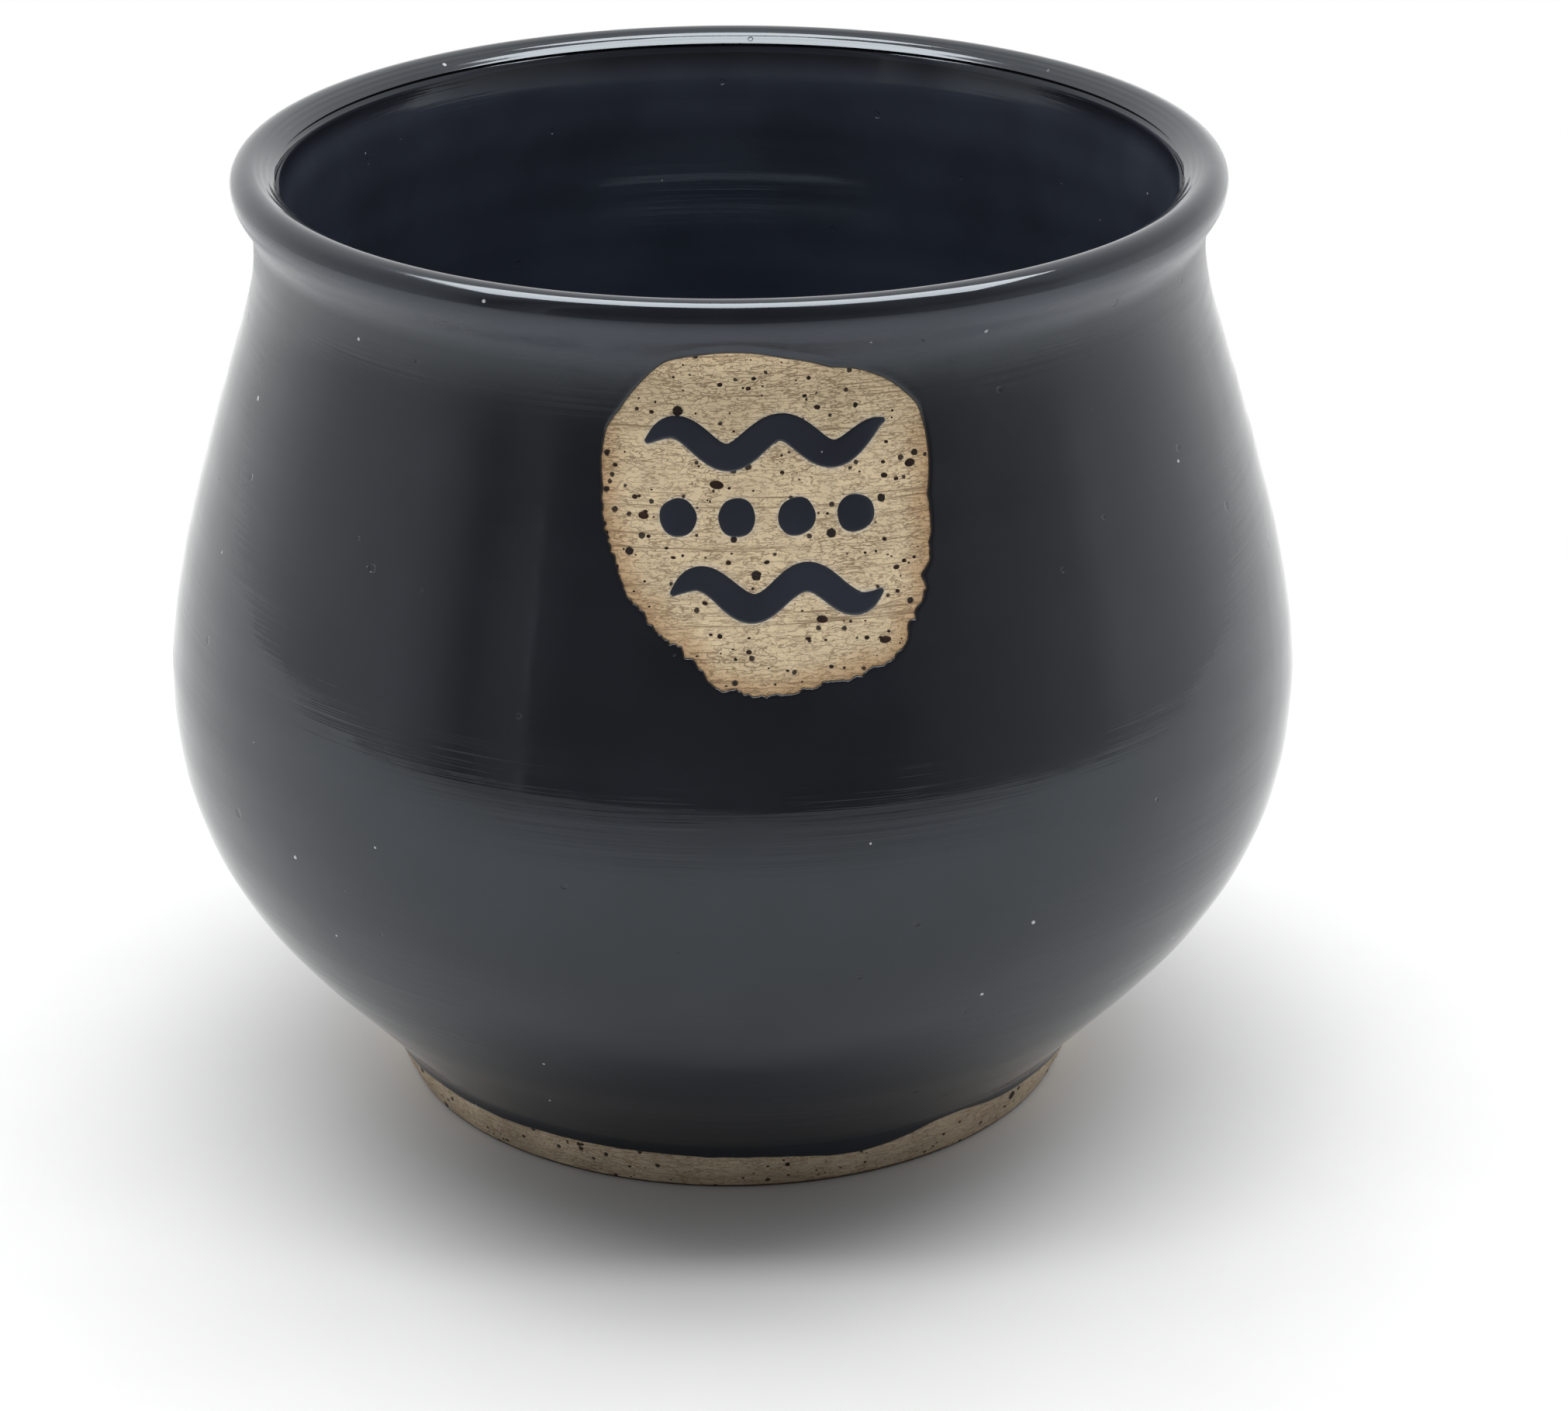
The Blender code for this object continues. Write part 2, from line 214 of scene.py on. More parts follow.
# Rows of faces on each stretch of the outline
BAND_ROWS = 5
HIP_ROWS = 12
WALL_ROWS = 30
COLLAR_ROWS = 12
LIP_ROWS = 14
SLOPE_ROWS = 18
FLOOR_ROWS = 22
EDGE_ROWS = 4
RECESS_ROWS = 14
CORNER_CUT = 0.00030
# How many times finer the outer wall's table of places is
FINE = 20

# The window's outline, counter-clockwise from the right, as shares of half its width and half its height
WINDOW_OUTLINE = (
    (1.00, 0.06),
    (1.00, 0.40),
    (0.95, 0.58),
    (0.78, 0.74),
    (0.59, 0.83),
    (0.40, 0.86),
    (0.12, 0.95),
    (-0.12, 1.00),
    (-0.40, 0.98),
    (-0.59, 0.93),
    (-0.76, 0.77),
    (-0.88, 0.61),
    (-0.97, 0.49),
    (-1.00, 0.30),
    (-0.99, 0.12),
    (-0.96, -0.10),
    (-0.89, -0.29),
    (-0.80, -0.49),
    (-0.68, -0.61),
    (-0.56, -0.72),
    (-0.42, -0.82),
    (-0.30, -0.95),
    (0.06, -1.00),
    (0.35, -0.95),
    (0.64, -0.90),
    (0.79, -0.84),
    (0.90, -0.64),
    (0.96, -0.50),
    (1.00, -0.20),
)
BEARINGS = 1440
SOFTENED_BEARINGS = 13
# Where its edge is torn, by how far down or left a bearing looks: at the bottom, and less on the lower left
TORN_BOTTOM = (-0.25, 0.55)
TORN_LEFT = (0.35, 0.95)
TORN_LEFT_LOW = (-0.6, 0.2)
TORN_LEFT_SHARE = 0.55
TEAR_REACH = 0.0012
# Its scallops: their scales, coarse and fine, how much the fine ones count, how far the edge stands out
# between them and how deep they cut in, and a slow waver that goes all the way round
SCALLOP_SCALES = (9, 24)
FINE_SCALLOPS = 0.45
SCALLOP_OUT = 0.9
SCALLOP_DEPTH = 2.3
SCALLOP_LAYER = Vector((0, 0, 3.1))
EDGE_WAVER = 0.15
EDGE_WAVER_SCALE = 3
EDGE_WAVER_LAYER = Vector((0, 0, 7))

# What the hands leave on the pot: an oval belly, finger rings, a waist at the neck, a dipping and ridged lip,
# a coil on the floor, and a foot trimmed off centre
OVAL = 0.00025
OVAL_TURN = 0.7
RING_PITCH = 0.0078
RING_WANDER = 0.6
RINGS_FADE = 0.02
OUTER_RINGS = 0.00005
INNER_RINGS = 0.00016
WAIST = 0.00075
WAIST_DROP = 0.0055
WAIST_SPREAD = 0.0105
WAIST_END = (0.0015, -0.0005)
LIP_DIP = 0.00010
LIP_DIP_TURN = 2.2
LIP_RIDGES = 0.000016
LIP_RIDGE_PITCH = 0.00078
LIP_RIDGE_WANDER = (1.5, 0.8)
LIP_RIDGES_IN = (-0.0004, 0.0004)
LIP_RIDGES_OUT = (-0.0022, -0.0012)
LIP_RIDGES_FADE = 0.001
COIL = 0.00022
COIL_PITCH = 0.0085
COIL_IN = (0.002, 0.010)
COIL_OUT = (0.026, 0.040)
ABOVE_RECESS = 0.002
CALM_RADIUS = 0.020
FOOT_SHIFT = (-0.0003, -0.0013)
# Keeps a division by a radius or a reach away from nothing
TINY = 0.001
# How near the axis a place is on it, and how near two places are one
ON_AXIS = 1e-6
WELD = 1e-6


def smooth(low, high, value):
    """0 at low, 1 at high, and an even slope in between, for a number or an array."""
    t = np.clip((value - low) / (high - low), 0, 1)
    return t * t * (3 - 2 * t)


def hump(value, reach):
    """1 at 0, and fading on both sides."""
    return np.exp(-((value / reach) ** 2))


def half_wave(angle):
    return 0.5 + 0.5 * np.sin(angle)


def up_along(lean):
    return Vector((math.sin(lean), math.cos(lean)))


def curve(start, leave, arrive, end, steps):
    """Points of a smooth curve after its start. leave and arrive are its two handles."""
    points = interpolate_bezier(start, start + leave, end + arrive, end, steps + 1)
    return [Vector((point.x, point.y)) for point in points[1:]]


def arc(centre, radius, first, last, steps):
    angles = [first + (last - first) * i / steps for i in range(steps + 1)]
    return [centre + Vector((radius * math.cos(a), radius * math.sin(a))) for a in angles]


def lifted(path, distances):
    """A path moved out of the clay. It climbs the outside and comes down the inside."""
    moved = []
    for i, point in enumerate(path):
        run = path[min(i + 1, len(path) - 1)] - path[max(i - 1, 0)]
        out = Vector((run.y, -run.x)).normalized()
        if point.x < ON_AXIS:
            out = UP
        moved.append(point + out * distances[i])
    return moved


class Outline:
    """The clay's turned outline, and places on its walls. Turns and heights may be numbers or arrays."""

    def __init__(self, sizes):
        self.sizes = s = sizes
        self.hip = Vector((s.foot_radius + s.foot_out + s.hip_out, s.foot_wall + s.hip_up))
        self.belly = Vector((s.belly_radius, self.hip.y + s.belly_up))
        self.neck = Vector((s.neck_radius, self.belly.y + s.neck_up))
        self.edge = Vector((s.lip_radius, self.neck.y + s.lip_up))
        self.outer = self.foot_wall() + self.belly_wall()
        self.lip = self.collar() + self.lip_top()
        self.inner = self.inside()
        fine = self.foot_wall(FINE) + self.belly_wall(FINE) + self.collar(FINE)
        wall = np.array([tuple(point) for point in fine])
        slope = np.gradient(wall, axis=0)
        slope /= np.linalg.norm(slope, axis=1)[:, None]
        self.radii, self.heights = wall.T
        self.out, self.rise = slope[:, 1], -slope[:, 0]
        hollow = np.array([tuple(point) for point in reversed(self.inner)])
        self.inner_radii, self.inner_heights = hollow.T

    def foot_corner(self):
        """Middle of the rounding at the foot's bottom edge, and the lean of the wall above it."""
        s = self.sizes
        lean = math.atan2(s.foot_out, s.foot_wall)
        return Vector((s.foot_radius - s.foot_edge * math.cos(lean), s.foot_edge)), lean

    def foot_wall(self, fine=1):
        """Straight band of the foot, and the curve out to the hip."""
        s = self.sizes
        centre, lean = self.foot_corner()
        low = centre + Vector((math.cos(lean), -math.sin(lean))) * s.foot_edge
        top = Vector((s.foot_radius + s.foot_out, s.foot_wall))
        rows = BAND_ROWS * fine
        band = [low.lerp(top, i / rows) for i in range(rows + 1)]
        leave = (top - low).normalized() * s.hip_up * FOOT_FULLNESS
        arrive = -up_along(s.hip_lean) * s.hip_up * FOOT_EASE
        return band + curve(top, leave, arrive, self.hip, HIP_ROWS * fine)[:-1]

    def belly_wall(self, fine=1):
        s = self.sizes
        lower = curve(
            self.hip,
            up_along(s.hip_lean) * s.belly_up * HIP_FULLNESS,
            -UP * s.belly_up * LOWER_BELLY_FULLNESS,
            self.belly,
            WALL_ROWS * fine,
        )
        upper = curve(
            self.belly,
            UP * s.neck_up * UPPER_BELLY_FULLNESS,
            -UP * s.neck_up * NECK_FULLNESS,
            self.neck,
            WALL_ROWS * fine,
        )
        return [self.hip] + lower + upper

    def collar(self, fine=1):
        up = UP * self.sizes.lip_up
        return curve(self.neck, up * COLLAR_FULLNESS, -up * LIP_FULLNESS, self.edge, COLLAR_ROWS * fine)

    def lip_top(self):
        """Round outer edge of the lip, and its slope in to the mouth's corner, which is cut off a little."""
        s = self.sizes
        centre = self.edge - Vector((s.lip_round, 0))
        turn = arc(centre, s.lip_round, 0, s.lip_round_end, LIP_ROWS)
        centre = turn[-1] + (centre - turn[-1]).normalized() * s.lip_slope_round
        slope = arc(centre, s.lip_slope_round, s.lip_round_end, s.lip_corner, SLOPE_ROWS)
        self.corner = slope[-1]
        cut = (slope[-2] - self.corner).normalized() * CORNER_CUT
        return turn[1:] + slope[1:-1] + [self.corner + cut]

    def inside(self):
        s = self.sizes
        wall = self.belly_wall()
        last = len(wall) - 1
        thick = [s.wall_at_hip + (s.wall_at_neck - s.wall_at_hip) * i / last for i in range(last + 1)]
        wall = list(reversed(lifted(wall, [-t for t in thick])))
        down = -up_along(s.mouth_flare)
        leave = down * s.lip_up * LIP_FULLNESS
        flare = curve(self.corner, leave, UP * s.lip_up * COLLAR_FULLNESS, wall[0], COLLAR_ROWS)
        kept = [point for point in wall[1:] if point.y > s.floor_curve_top]
        run = (kept[-1] - kept[-2]).normalized() * FLOOR_DROP
        floor = curve(kept[-1], run, Vector((FLOOR_REACH, 0)), Vector((0, s.floor_height)), FLOOR_ROWS)
        return [self.corner + down * CORNER_CUT] + flare + kept + floor

    def under_foot(self):
        """Under the ring and into the trimmed hollow, to the axis."""
        s = self.sizes
        centre, lean = self.foot_corner()
        edge = arc(centre, s.foot_edge, -lean, -math.pi / 2, EDGE_ROWS)
        inner = s.foot_radius - s.ring_width
        centre = Vector((inner - s.recess_draft - s.recess_round, s.recess_depth - s.recess_round))
        corner = arc(centre, s.recess_round, 0, math.pi / 2, EDGE_ROWS)
        reach = corner[-1].x
        flat = [Vector((reach * (1 - i / RECESS_ROWS), s.recess_depth)) for i in range(1, RECESS_ROWS + 1)]
        return edge[1:] + [Vector((inner, 0))] + corner + flat

    def radius(self, height):
        return np.interp(height, self.heights, self.radii)

    def at(self, turn, height, lift):
        """Places above the outer wall, by their angle round the axis."""
        out = np.interp(height, self.heights, self.out)
        rise = np.interp(height, self.heights, self.rise)
        radius = self.radius(height) + out * lift
        return np.stack([radius * np.cos(turn), radius * np.sin(turn), height + rise * lift], axis=-1)

    def front(self, across, height, lift):
        """Places above the outer wall, by where they show from the front."""
        return self.at(FRONT + np.arcsin(across / self.radius(height)), height, lift)

    def is_outside(self, radius, height):
        inner = np.interp(height, self.inner_heights, self.inner_radii, left=0)
        return radius > (self.radius(height) + inner) / 2

    def stands_out(self, turn, height, outside, lip):
        """How far walls stand out from the turned shape: oval, ringed, and drawn in under the lip."""
        oval = -OVAL * half_wave(2 * turn + OVAL_TURN) * smooth(self.hip.y, self.belly.y, height)
        swing = half_wave(2 * math.pi * height / RING_PITCH + turn + RING_WANDER * np.sin(2 * turn))
        rings = np.where(outside, OUTER_RINGS, INNER_RINGS) * (swing - 1)
        rings *= (1 - lip) * smooth(self.hip.y, self.hip.y + RINGS_FADE, height)
        waist = WAIST * hump(height - self.neck.y + WAIST_DROP, WAIST_SPREAD) * outside
        waist *= 1 - smooth(self.neck.y + WAIST_END[0], self.edge.y + WAIST_END[1], height)
        return oval + rings - waist

    def stands_up(self, turn, radius, height, outside, lip):
        """How far places stand above the turned shape: a lip that dips, its ridges, and the floor's coil."""
        dip = -LIP_DIP * half_wave(turn + LIP_DIP_TURN) * lip
        wander = LIP_RIDGE_WANDER[0] * np.sin(turn) + LIP_RIDGE_WANDER[1] * np.sin(3 * turn)
        ridges = LIP_RIDGES * (np.sin(2 * math.pi * radius / LIP_RIDGE_PITCH + wander) - 1)
        ridges *= smooth(*LIP_RIDGES_IN, radius - self.corner.x)
        ridges *= 1 - smooth(*LIP_RIDGES_OUT, radius - self.edge.x)
        ridges *= smooth(self.corner.y - LIP_RIDGES_FADE, self.corner.y, height)
        coil = COIL * half_wave(2 * math.pi * radius / COIL_PITCH - turn)
        coil *= smooth(*COIL_IN, radius) * (1 - smooth(*COIL_OUT, radius))
        on_floor = ~outside & (height <= self.belly.y) & (height > self.sizes.recess_depth + ABOVE_RECESS)
        return dip + ridges + coil * on_floor

    def by_hand(self, places):
        """Where turned places end up on a pot thrown by hand."""
        radius = np.hypot(places[:, 0], places[:, 1])
        turn = np.arctan2(places[:, 1], places[:, 0])
        height = places[:, 2]
        outside = self.is_outside(radius, height)
        lip = smooth(self.neck.y, self.edge.y, height)
        out = self.stands_out(turn, height, outside, lip)
        up = self.stands_up(turn, radius, height, outside, lip)
        scale = 1 + out * smooth(0, CALM_RADIUS, radius) / np.maximum(radius, TINY)
        low = 1 - smooth(self.sizes.foot_edge, 2 * self.hip.y, height)
        across, away = (places[:, i] * scale + FOOT_SHIFT[i] * low for i in (0, 1))
        return np.stack([across, away, height + up], axis=1)


# The glaze's lower edge: how far it stops short on each side, where it has run lower beside that and how far,
# and its wavering, as depth, scale and layer of a noise
SHORT_REACH = (math.radians(6), math.radians(9))
RUN_AWAY = math.radians(16)
RUN_REACH = math.radians(10)
WAVERS = ((0.00035, 6, 0.4), (0.00012, 21, 0.9))


def glaze_line(turn, glaze):
    """Height of the glaze's lower edge. It wavers, stops short in one place and has run lower beside it."""
    away = math.remainder(turn - glaze.short_angle, 2 * math.pi)
    height = glaze.line + glaze.short_rise * hump(away, SHORT_REACH[away >= 0])
    height -= glaze.run_drop * hump(away + RUN_AWAY, RUN_REACH)
    for depth, scale, layer in WAVERS:
        height += depth * noise.noise(Vector((math.cos(turn), math.sin(turn), layer)) * scale)
    return height


class Window:
    """The bare window's outline in front view, kept as its reach from the middle by bearing."""

    def __init__(self, outline, sizes):
        self.sizes = sizes
        self.middle = Vector((sizes.side, outline.neck.y - sizes.below_neck))
        half = Vector((sizes.width / 2, sizes.height / 2))
        self.corners = [Vector(share) * half for share in WINDOW_OUTLINE]
        self.bearings = np.linspace(-math.pi, math.pi, BEARINGS, endpoint=False)
        along = np.array([math.atan2(corner.y, corner.x) for corner in self.corners])
        away = np.array([corner.length for corner in self.corners])
        self.reaches = self.softened(np.interp(self.bearings, along, away, period=2 * math.pi))
        self.tears = np.array([self.tear_at(bearing) for bearing in self.bearings])

    def softened(self, values):
        side = SOFTENED_BEARINGS
        weights = np.hanning(2 * side + 1)
        wide = np.concatenate([values[-side:], values, values[:side]])
        return np.convolve(wide, weights / weights.sum(), "valid")

    def tear_at(self, bearing):
        """How far the edge is torn outwards, in scallops, deepest at the bottom and the lower left."""
        place = Vector((math.cos(bearing), math.sin(bearing), 0))
        left = TORN_LEFT_SHARE * smooth(*TORN_LEFT, -place.x) * smooth(*TORN_LEFT_LOW, -place.y)
        low = smooth(*TORN_BOTTOM, -place.y) + left
        coarse, fine = (place * scale for scale in SCALLOP_SCALES)
        bumps = abs(noise.noise(coarse + SCALLOP_LAYER)) + FINE_SCALLOPS * abs(noise.noise(fine))
        waver = EDGE_WAVER * noise.noise(place * EDGE_WAVER_SCALE + EDGE_WAVER_LAYER)
        return self.sizes.ragged * (min(low, 1) * (SCALLOP_OUT - SCALLOP_DEPTH * bumps) + waver)

    def reach(self, bearing):
        return np.interp(bearing, self.bearings, self.reaches, period=2 * math.pi)

    def tear(self, bearing):
        return np.interp(bearing, self.bearings, self.tears, period=2 * math.pi)

    def place(self, bearing, reach):
        return self.middle + reach * Vector((math.cos(bearing), math.sin(bearing)))

    def depth(self, across, rise):
        """How far places in front view, from the middle, lie inside the torn edge."""
        bearing = np.arctan2(rise, across)
        return self.reach(bearing) + self.tear(bearing) - np.hypot(across, rise)

    def sides(self, rise):
        """Left and right ends of the plain window at a height above its middle."""
        ends = []
        for start, end in zip(self.corners, self.corners[1:] + self.corners[:1]):
            if (start.y > rise) != (end.y > rise):
                ends.append(start.lerp(end, (rise - start.y) / (end.y - start.y)).x)
        return self.middle.x + min(ends), self.middle.x + max(ends)


class Mark:
    """A brushed mark in front view: a spine of points with a half width at each."""

    def __init__(self, name, node, spine, halves):
        self.name = name
        self.node = node
        self.spine = spine
        self.halves = halves

    def distance(self, across, height):
        """How far places in front view lie outside the mark."""
        best = np.full(np.shape(across), 1.0)
        for point, half in zip(self.spine, self.halves):
            best = np.minimum(best, np.hypot(across - point.x, height - point.y) - half)
        return best


WAVE_POINTS = 60
# How unevenly a brush spreads, how often that changes along a wave, and how blunt and how thin its tips are
BRUSH_UNEVEN = 0.16
BRUSH_CHANGES = 5
BRUSH_LAYER = 3
BRUSH_BLUNT = 4
BRUSH_TIP = 0.04


def wave_mark(window, sizes, name, side):
    rise = side * sizes.wave_spacing / 2
    left, right = window.sides(rise)
    left += sizes.margin
    right -= sizes.margin
    spine, halves = [], []
    for i in range(WAVE_POINTS + 1):
        t = i / WAVE_POINTS
        across = left + (right - left) * t
        swing = math.sin(2 * math.pi * (across - left) / sizes.wave_length)
        spine.append(Vector((across, window.middle.y + rise + sizes.wave_height * swing)))
        brush = 1 + BRUSH_UNEVEN * noise.noise(Vector((t * BRUSH_CHANGES, BRUSH_LAYER * side, 0)))
        tip = math.sqrt(max(BRUSH_TIP, 1 - (2 * t - 1) ** BRUSH_BLUNT))
        halves.append(sizes.wave_width / 2 * brush * tip)
    return Mark(f"brushed_wave_{name}", f"glaze_wave_{name}", spine, halves)


def marks_of(window, sizes):
    """Two waves with a row of dots between them."""
    made = [wave_mark(window, sizes, name, side) for name, side in (("upper", 1), ("lower", -1))]
    left, right = window.sides(0)
    step = (right - left - 2 * sizes.margin) / sizes.dot_count
    for number in range(sizes.dot_count):
        centre = Vector((left + sizes.margin + step * (number + 0.5), window.middle.y))
        names = f"brushed_dot_{number + 1}", f"glaze_dot_{number + 1}"
        made.append(Mark(*names, [centre], [sizes.dot_radius]))
    return made


# Mesh helpers


SECTOR_DOUBLINGS = 4
SHARP = math.radians(50)


def of_kind(items, kind):
    return [item for item in items if isinstance(item, kind)]


def turned_sheet(shape, path, steps):
    """A sheet turned about Z from a path. One sector is spun, and then doubled until it goes all round."""
    verts = [shape.verts.new((point.x, 0, point.y)) for point in path]
    edges = [shape.edges.new(pair) for pair in zip(verts, verts[1:])]
    sectors = 2**SECTOR_DOUBLINGS
    turn = 2 * math.pi / sectors
    middle = {"cent": (0, 0, 0)}
    bmesh.ops.spin(shape, geom=verts + edges, axis=(0, 0, 1), angle=turn, steps=steps // sectors, **middle)
    for _ in range(SECTOR_DOUBLINGS):
        made = bmesh.ops.duplicate(shape, geom=shape.verts[:] + shape.edges[:] + shape.faces[:])["geom"]
        moved = of_kind(made, bmesh.types.BMVert)
        bmesh.ops.rotate(shape, verts=moved, matrix=Matrix.Rotation(turn, 3, "Z"), **middle)
        turn *= 2
    weld(shape)


def weld(shape, distance=WELD):
    bmesh.ops.remove_doubles(shape, verts=shape.verts, dist=distance)


def new_layers(shape, *names):
    return [shape.verts.layers.float.new(name) for name in names]


def places_of(verts):
    return np.array([tuple(vert.co) for vert in verts])


def move_to(verts, places):
    for vert, place in zip(verts, places):
        vert.co = place


def finished(name, shape, outline, material, slot, *nodes):
    """The shape as a finished piece that rides on the bowl and stands for the nodes."""
    move_to(shape.verts, outline.by_hand(places_of(shape.verts)))
    bmesh.ops.recalc_face_normals(shape, faces=shape.faces)
    mesh = bpy.data.meshes.new(name)
    shape.to_mesh(mesh)
    shape.free()
    mesh.shade_smooth()
    mesh.set_sharp_from_angle(angle=SHARP)
    mesh.materials.append(material)
    piece = bpy.data.objects.new(name, mesh)
    bpy.context.scene.collection.objects.link(piece)
    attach(piece, BODY)
    if nodes:
        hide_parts(*nodes)
    return piece


def clay_fill(outline, glaze, height):
    """Thickness of the clay skin that fills the gap under the glaze. It starts at the foot's edge."""
    return glaze.fill * smooth(outline.sizes.foot_edge, outline.sizes.foot_wall, height)


def in_window_field(outline, window, places, margin):
    """Which places lie on the front, in or within a margin of the window."""
    across, height = places[:, 0] - window.middle.x, places[:, 2] - window.middle.y
    near = (abs(across) < window.sizes.width / 2 + margin) & (abs(height) < window.sizes.height / 2 + margin)
    return near & (places[:, 1] < 0) & outline.is_outside(np.hypot(places[:, 0], places[:, 1]), places[:, 2])


def faces_in_field(shape, outline, window, margin):
    faces = list(shape.faces)
    middles = np.array([tuple(face.calc_center_median()) for face in faces])
    return [face for face, near in zip(faces, in_window_field(outline, window, middles, margin)) if near]


# Clay

CLAY_STEPS = 208
WINDOW_CUTS = 7
CUT_MARGIN = 0.003
BORDER_MARGIN = 0.0045
SEAT = 0.00045
SINK = 0.00002
# Stands for a place that is far from any edge or mark
FAR = 0.01


def clay_mesh(outline, glaze, window, marks):
    shape = bmesh.new()
    covered = outline.outer + outline.lip + outline.inner
    fills = [clay_fill(outline, glaze, point.y) for point in outline.outer]
    fills += [glaze.fill] * (len(covered) - len(fills))
    path = list(reversed(outline.under_foot())) + lifted(covered, fills)
    turned_sheet(shape, path, CLAY_STEPS)
    field = faces_in_field(shape, outline, window, CUT_MARGIN)
    edges = list(dict.fromkeys(edge for face in field for edge in face.edges))
    bmesh.ops.subdivide_edges(shape, edges=edges, cuts=WINDOW_CUTS, use_grid_fill=True)
    border, beside = new_layers(shape, "border", "beside_mark")
    places = places_of(shape.verts)
    near = in_window_field(outline, window, places, BORDER_MARGIN)
    front = places[near]
    depth = np.full(len(places), FAR)
    depth[near] = window.depth(front[:, 0] - window.middle.x, front[:, 2] - window.middle.y)
    bare = np.clip(1 + depth[near] / SEAT, 0, 1)
    lift = glaze.fill + (glaze.bare - glaze.fill) * bare
    places[near] = outline.at(np.arctan2(front[:, 1], front[:, 0]), front[:, 2], lift)
    away = np.full(len(places), FAR)
    away[near] = np.min([mark.distance(front[:, 0], front[:, 2]) for mark in marks], axis=0)
    move_to(shape.verts, places)
    for vert, inside, outside in zip(shape.verts, depth, away):
        vert[border] = inside
        vert[beside] = outside
    return shape


# Glaze

COAT_STEPS = 320
BACK_STEPS = 80
WINDOW_MARGIN = 0.0030
EDGE_CUTS = 3
FIELD = (0.75, 0.5, 0.25)
RIM = (0.0016, 0.0011, 0.00075, 0.0005, 0.00034, 0.00021, 0.00011, 0.00004, 0.0)
BACK_RIM = (0.0016, 0.0004)
WAVER_FADE = 0.008
FIRST_ROW_GAP = 0.0004
POOL_IN = 1.4
# Heights that tell the window's loop from the foot's, and the wall below the lip's edge from the lip
WINDOW_ABOVE = 0.05
FOOT_BELOW = 0.02
BELOW_EDGE = 1e-5
# The ledge above the window: where it starts, and the share, place and reach of its ridge and its groove
LEDGE_UP = (0.85, 0.97)
LEDGE = ((0.8, 0.00055, 0.00035), (-1.0, 0.00125, 0.00045))
# Depths under the lip's corner over which the glaze inside turns to the lighter colour, first half and then
# wholly: painted light that lifts the shade inside the bowl
PAINTED_LIGHT_HALF = (0.0002, 0.004)
PAINTED_LIGHT_WHOLE = (0.004, 0.045)


def coat_lift(outline, glaze, window, places, inwards):
    """Height of the glaze's face by its distance in from an edge: it rolls up, pools a little and levels."""
    by_window = places[:, 2] > window.middle.y / 2
    low = np.where(by_window, glaze.bare - SINK, clay_fill(outline, glaze, places[:, 2]))
    t = np.clip(inwards / glaze.rolled_edge, 0, 1)
    roll = np.sqrt(1 - (1 - t) ** 2)
    pool = glaze.bead * hump(inwards - POOL_IN * glaze.rolled_edge, glaze.rolled_edge)
    across, rise = places[:, 0] - window.middle.x, places[:, 2] - window.middle.y
    above = smooth(*LEDGE_UP, rise / np.maximum(np.hypot(across, rise), TINY))
    ledge = sum(share * hump(inwards - place, reach) for share, place, reach in LEDGE)
    return low + (glaze.top - glaze.bead - low) * roll + (pool + glaze.ledge * above * ledge) * t


def open_edges(shape, chosen):
    """The edges of holes whose ends are both at chosen heights."""
    edges = [edge for edge in shape.edges if edge.is_boundary]
    return [edge for edge in edges if all(chosen(vert.co.z) for vert in edge.verts)]


def window_loop(shape):
    """The edges of the hole for the window."""
    return open_edges(shape, lambda height: height > WINDOW_ABOVE)


def foot_loop(shape):
    return open_edges(shape, lambda height: height < FOOT_BELOW)


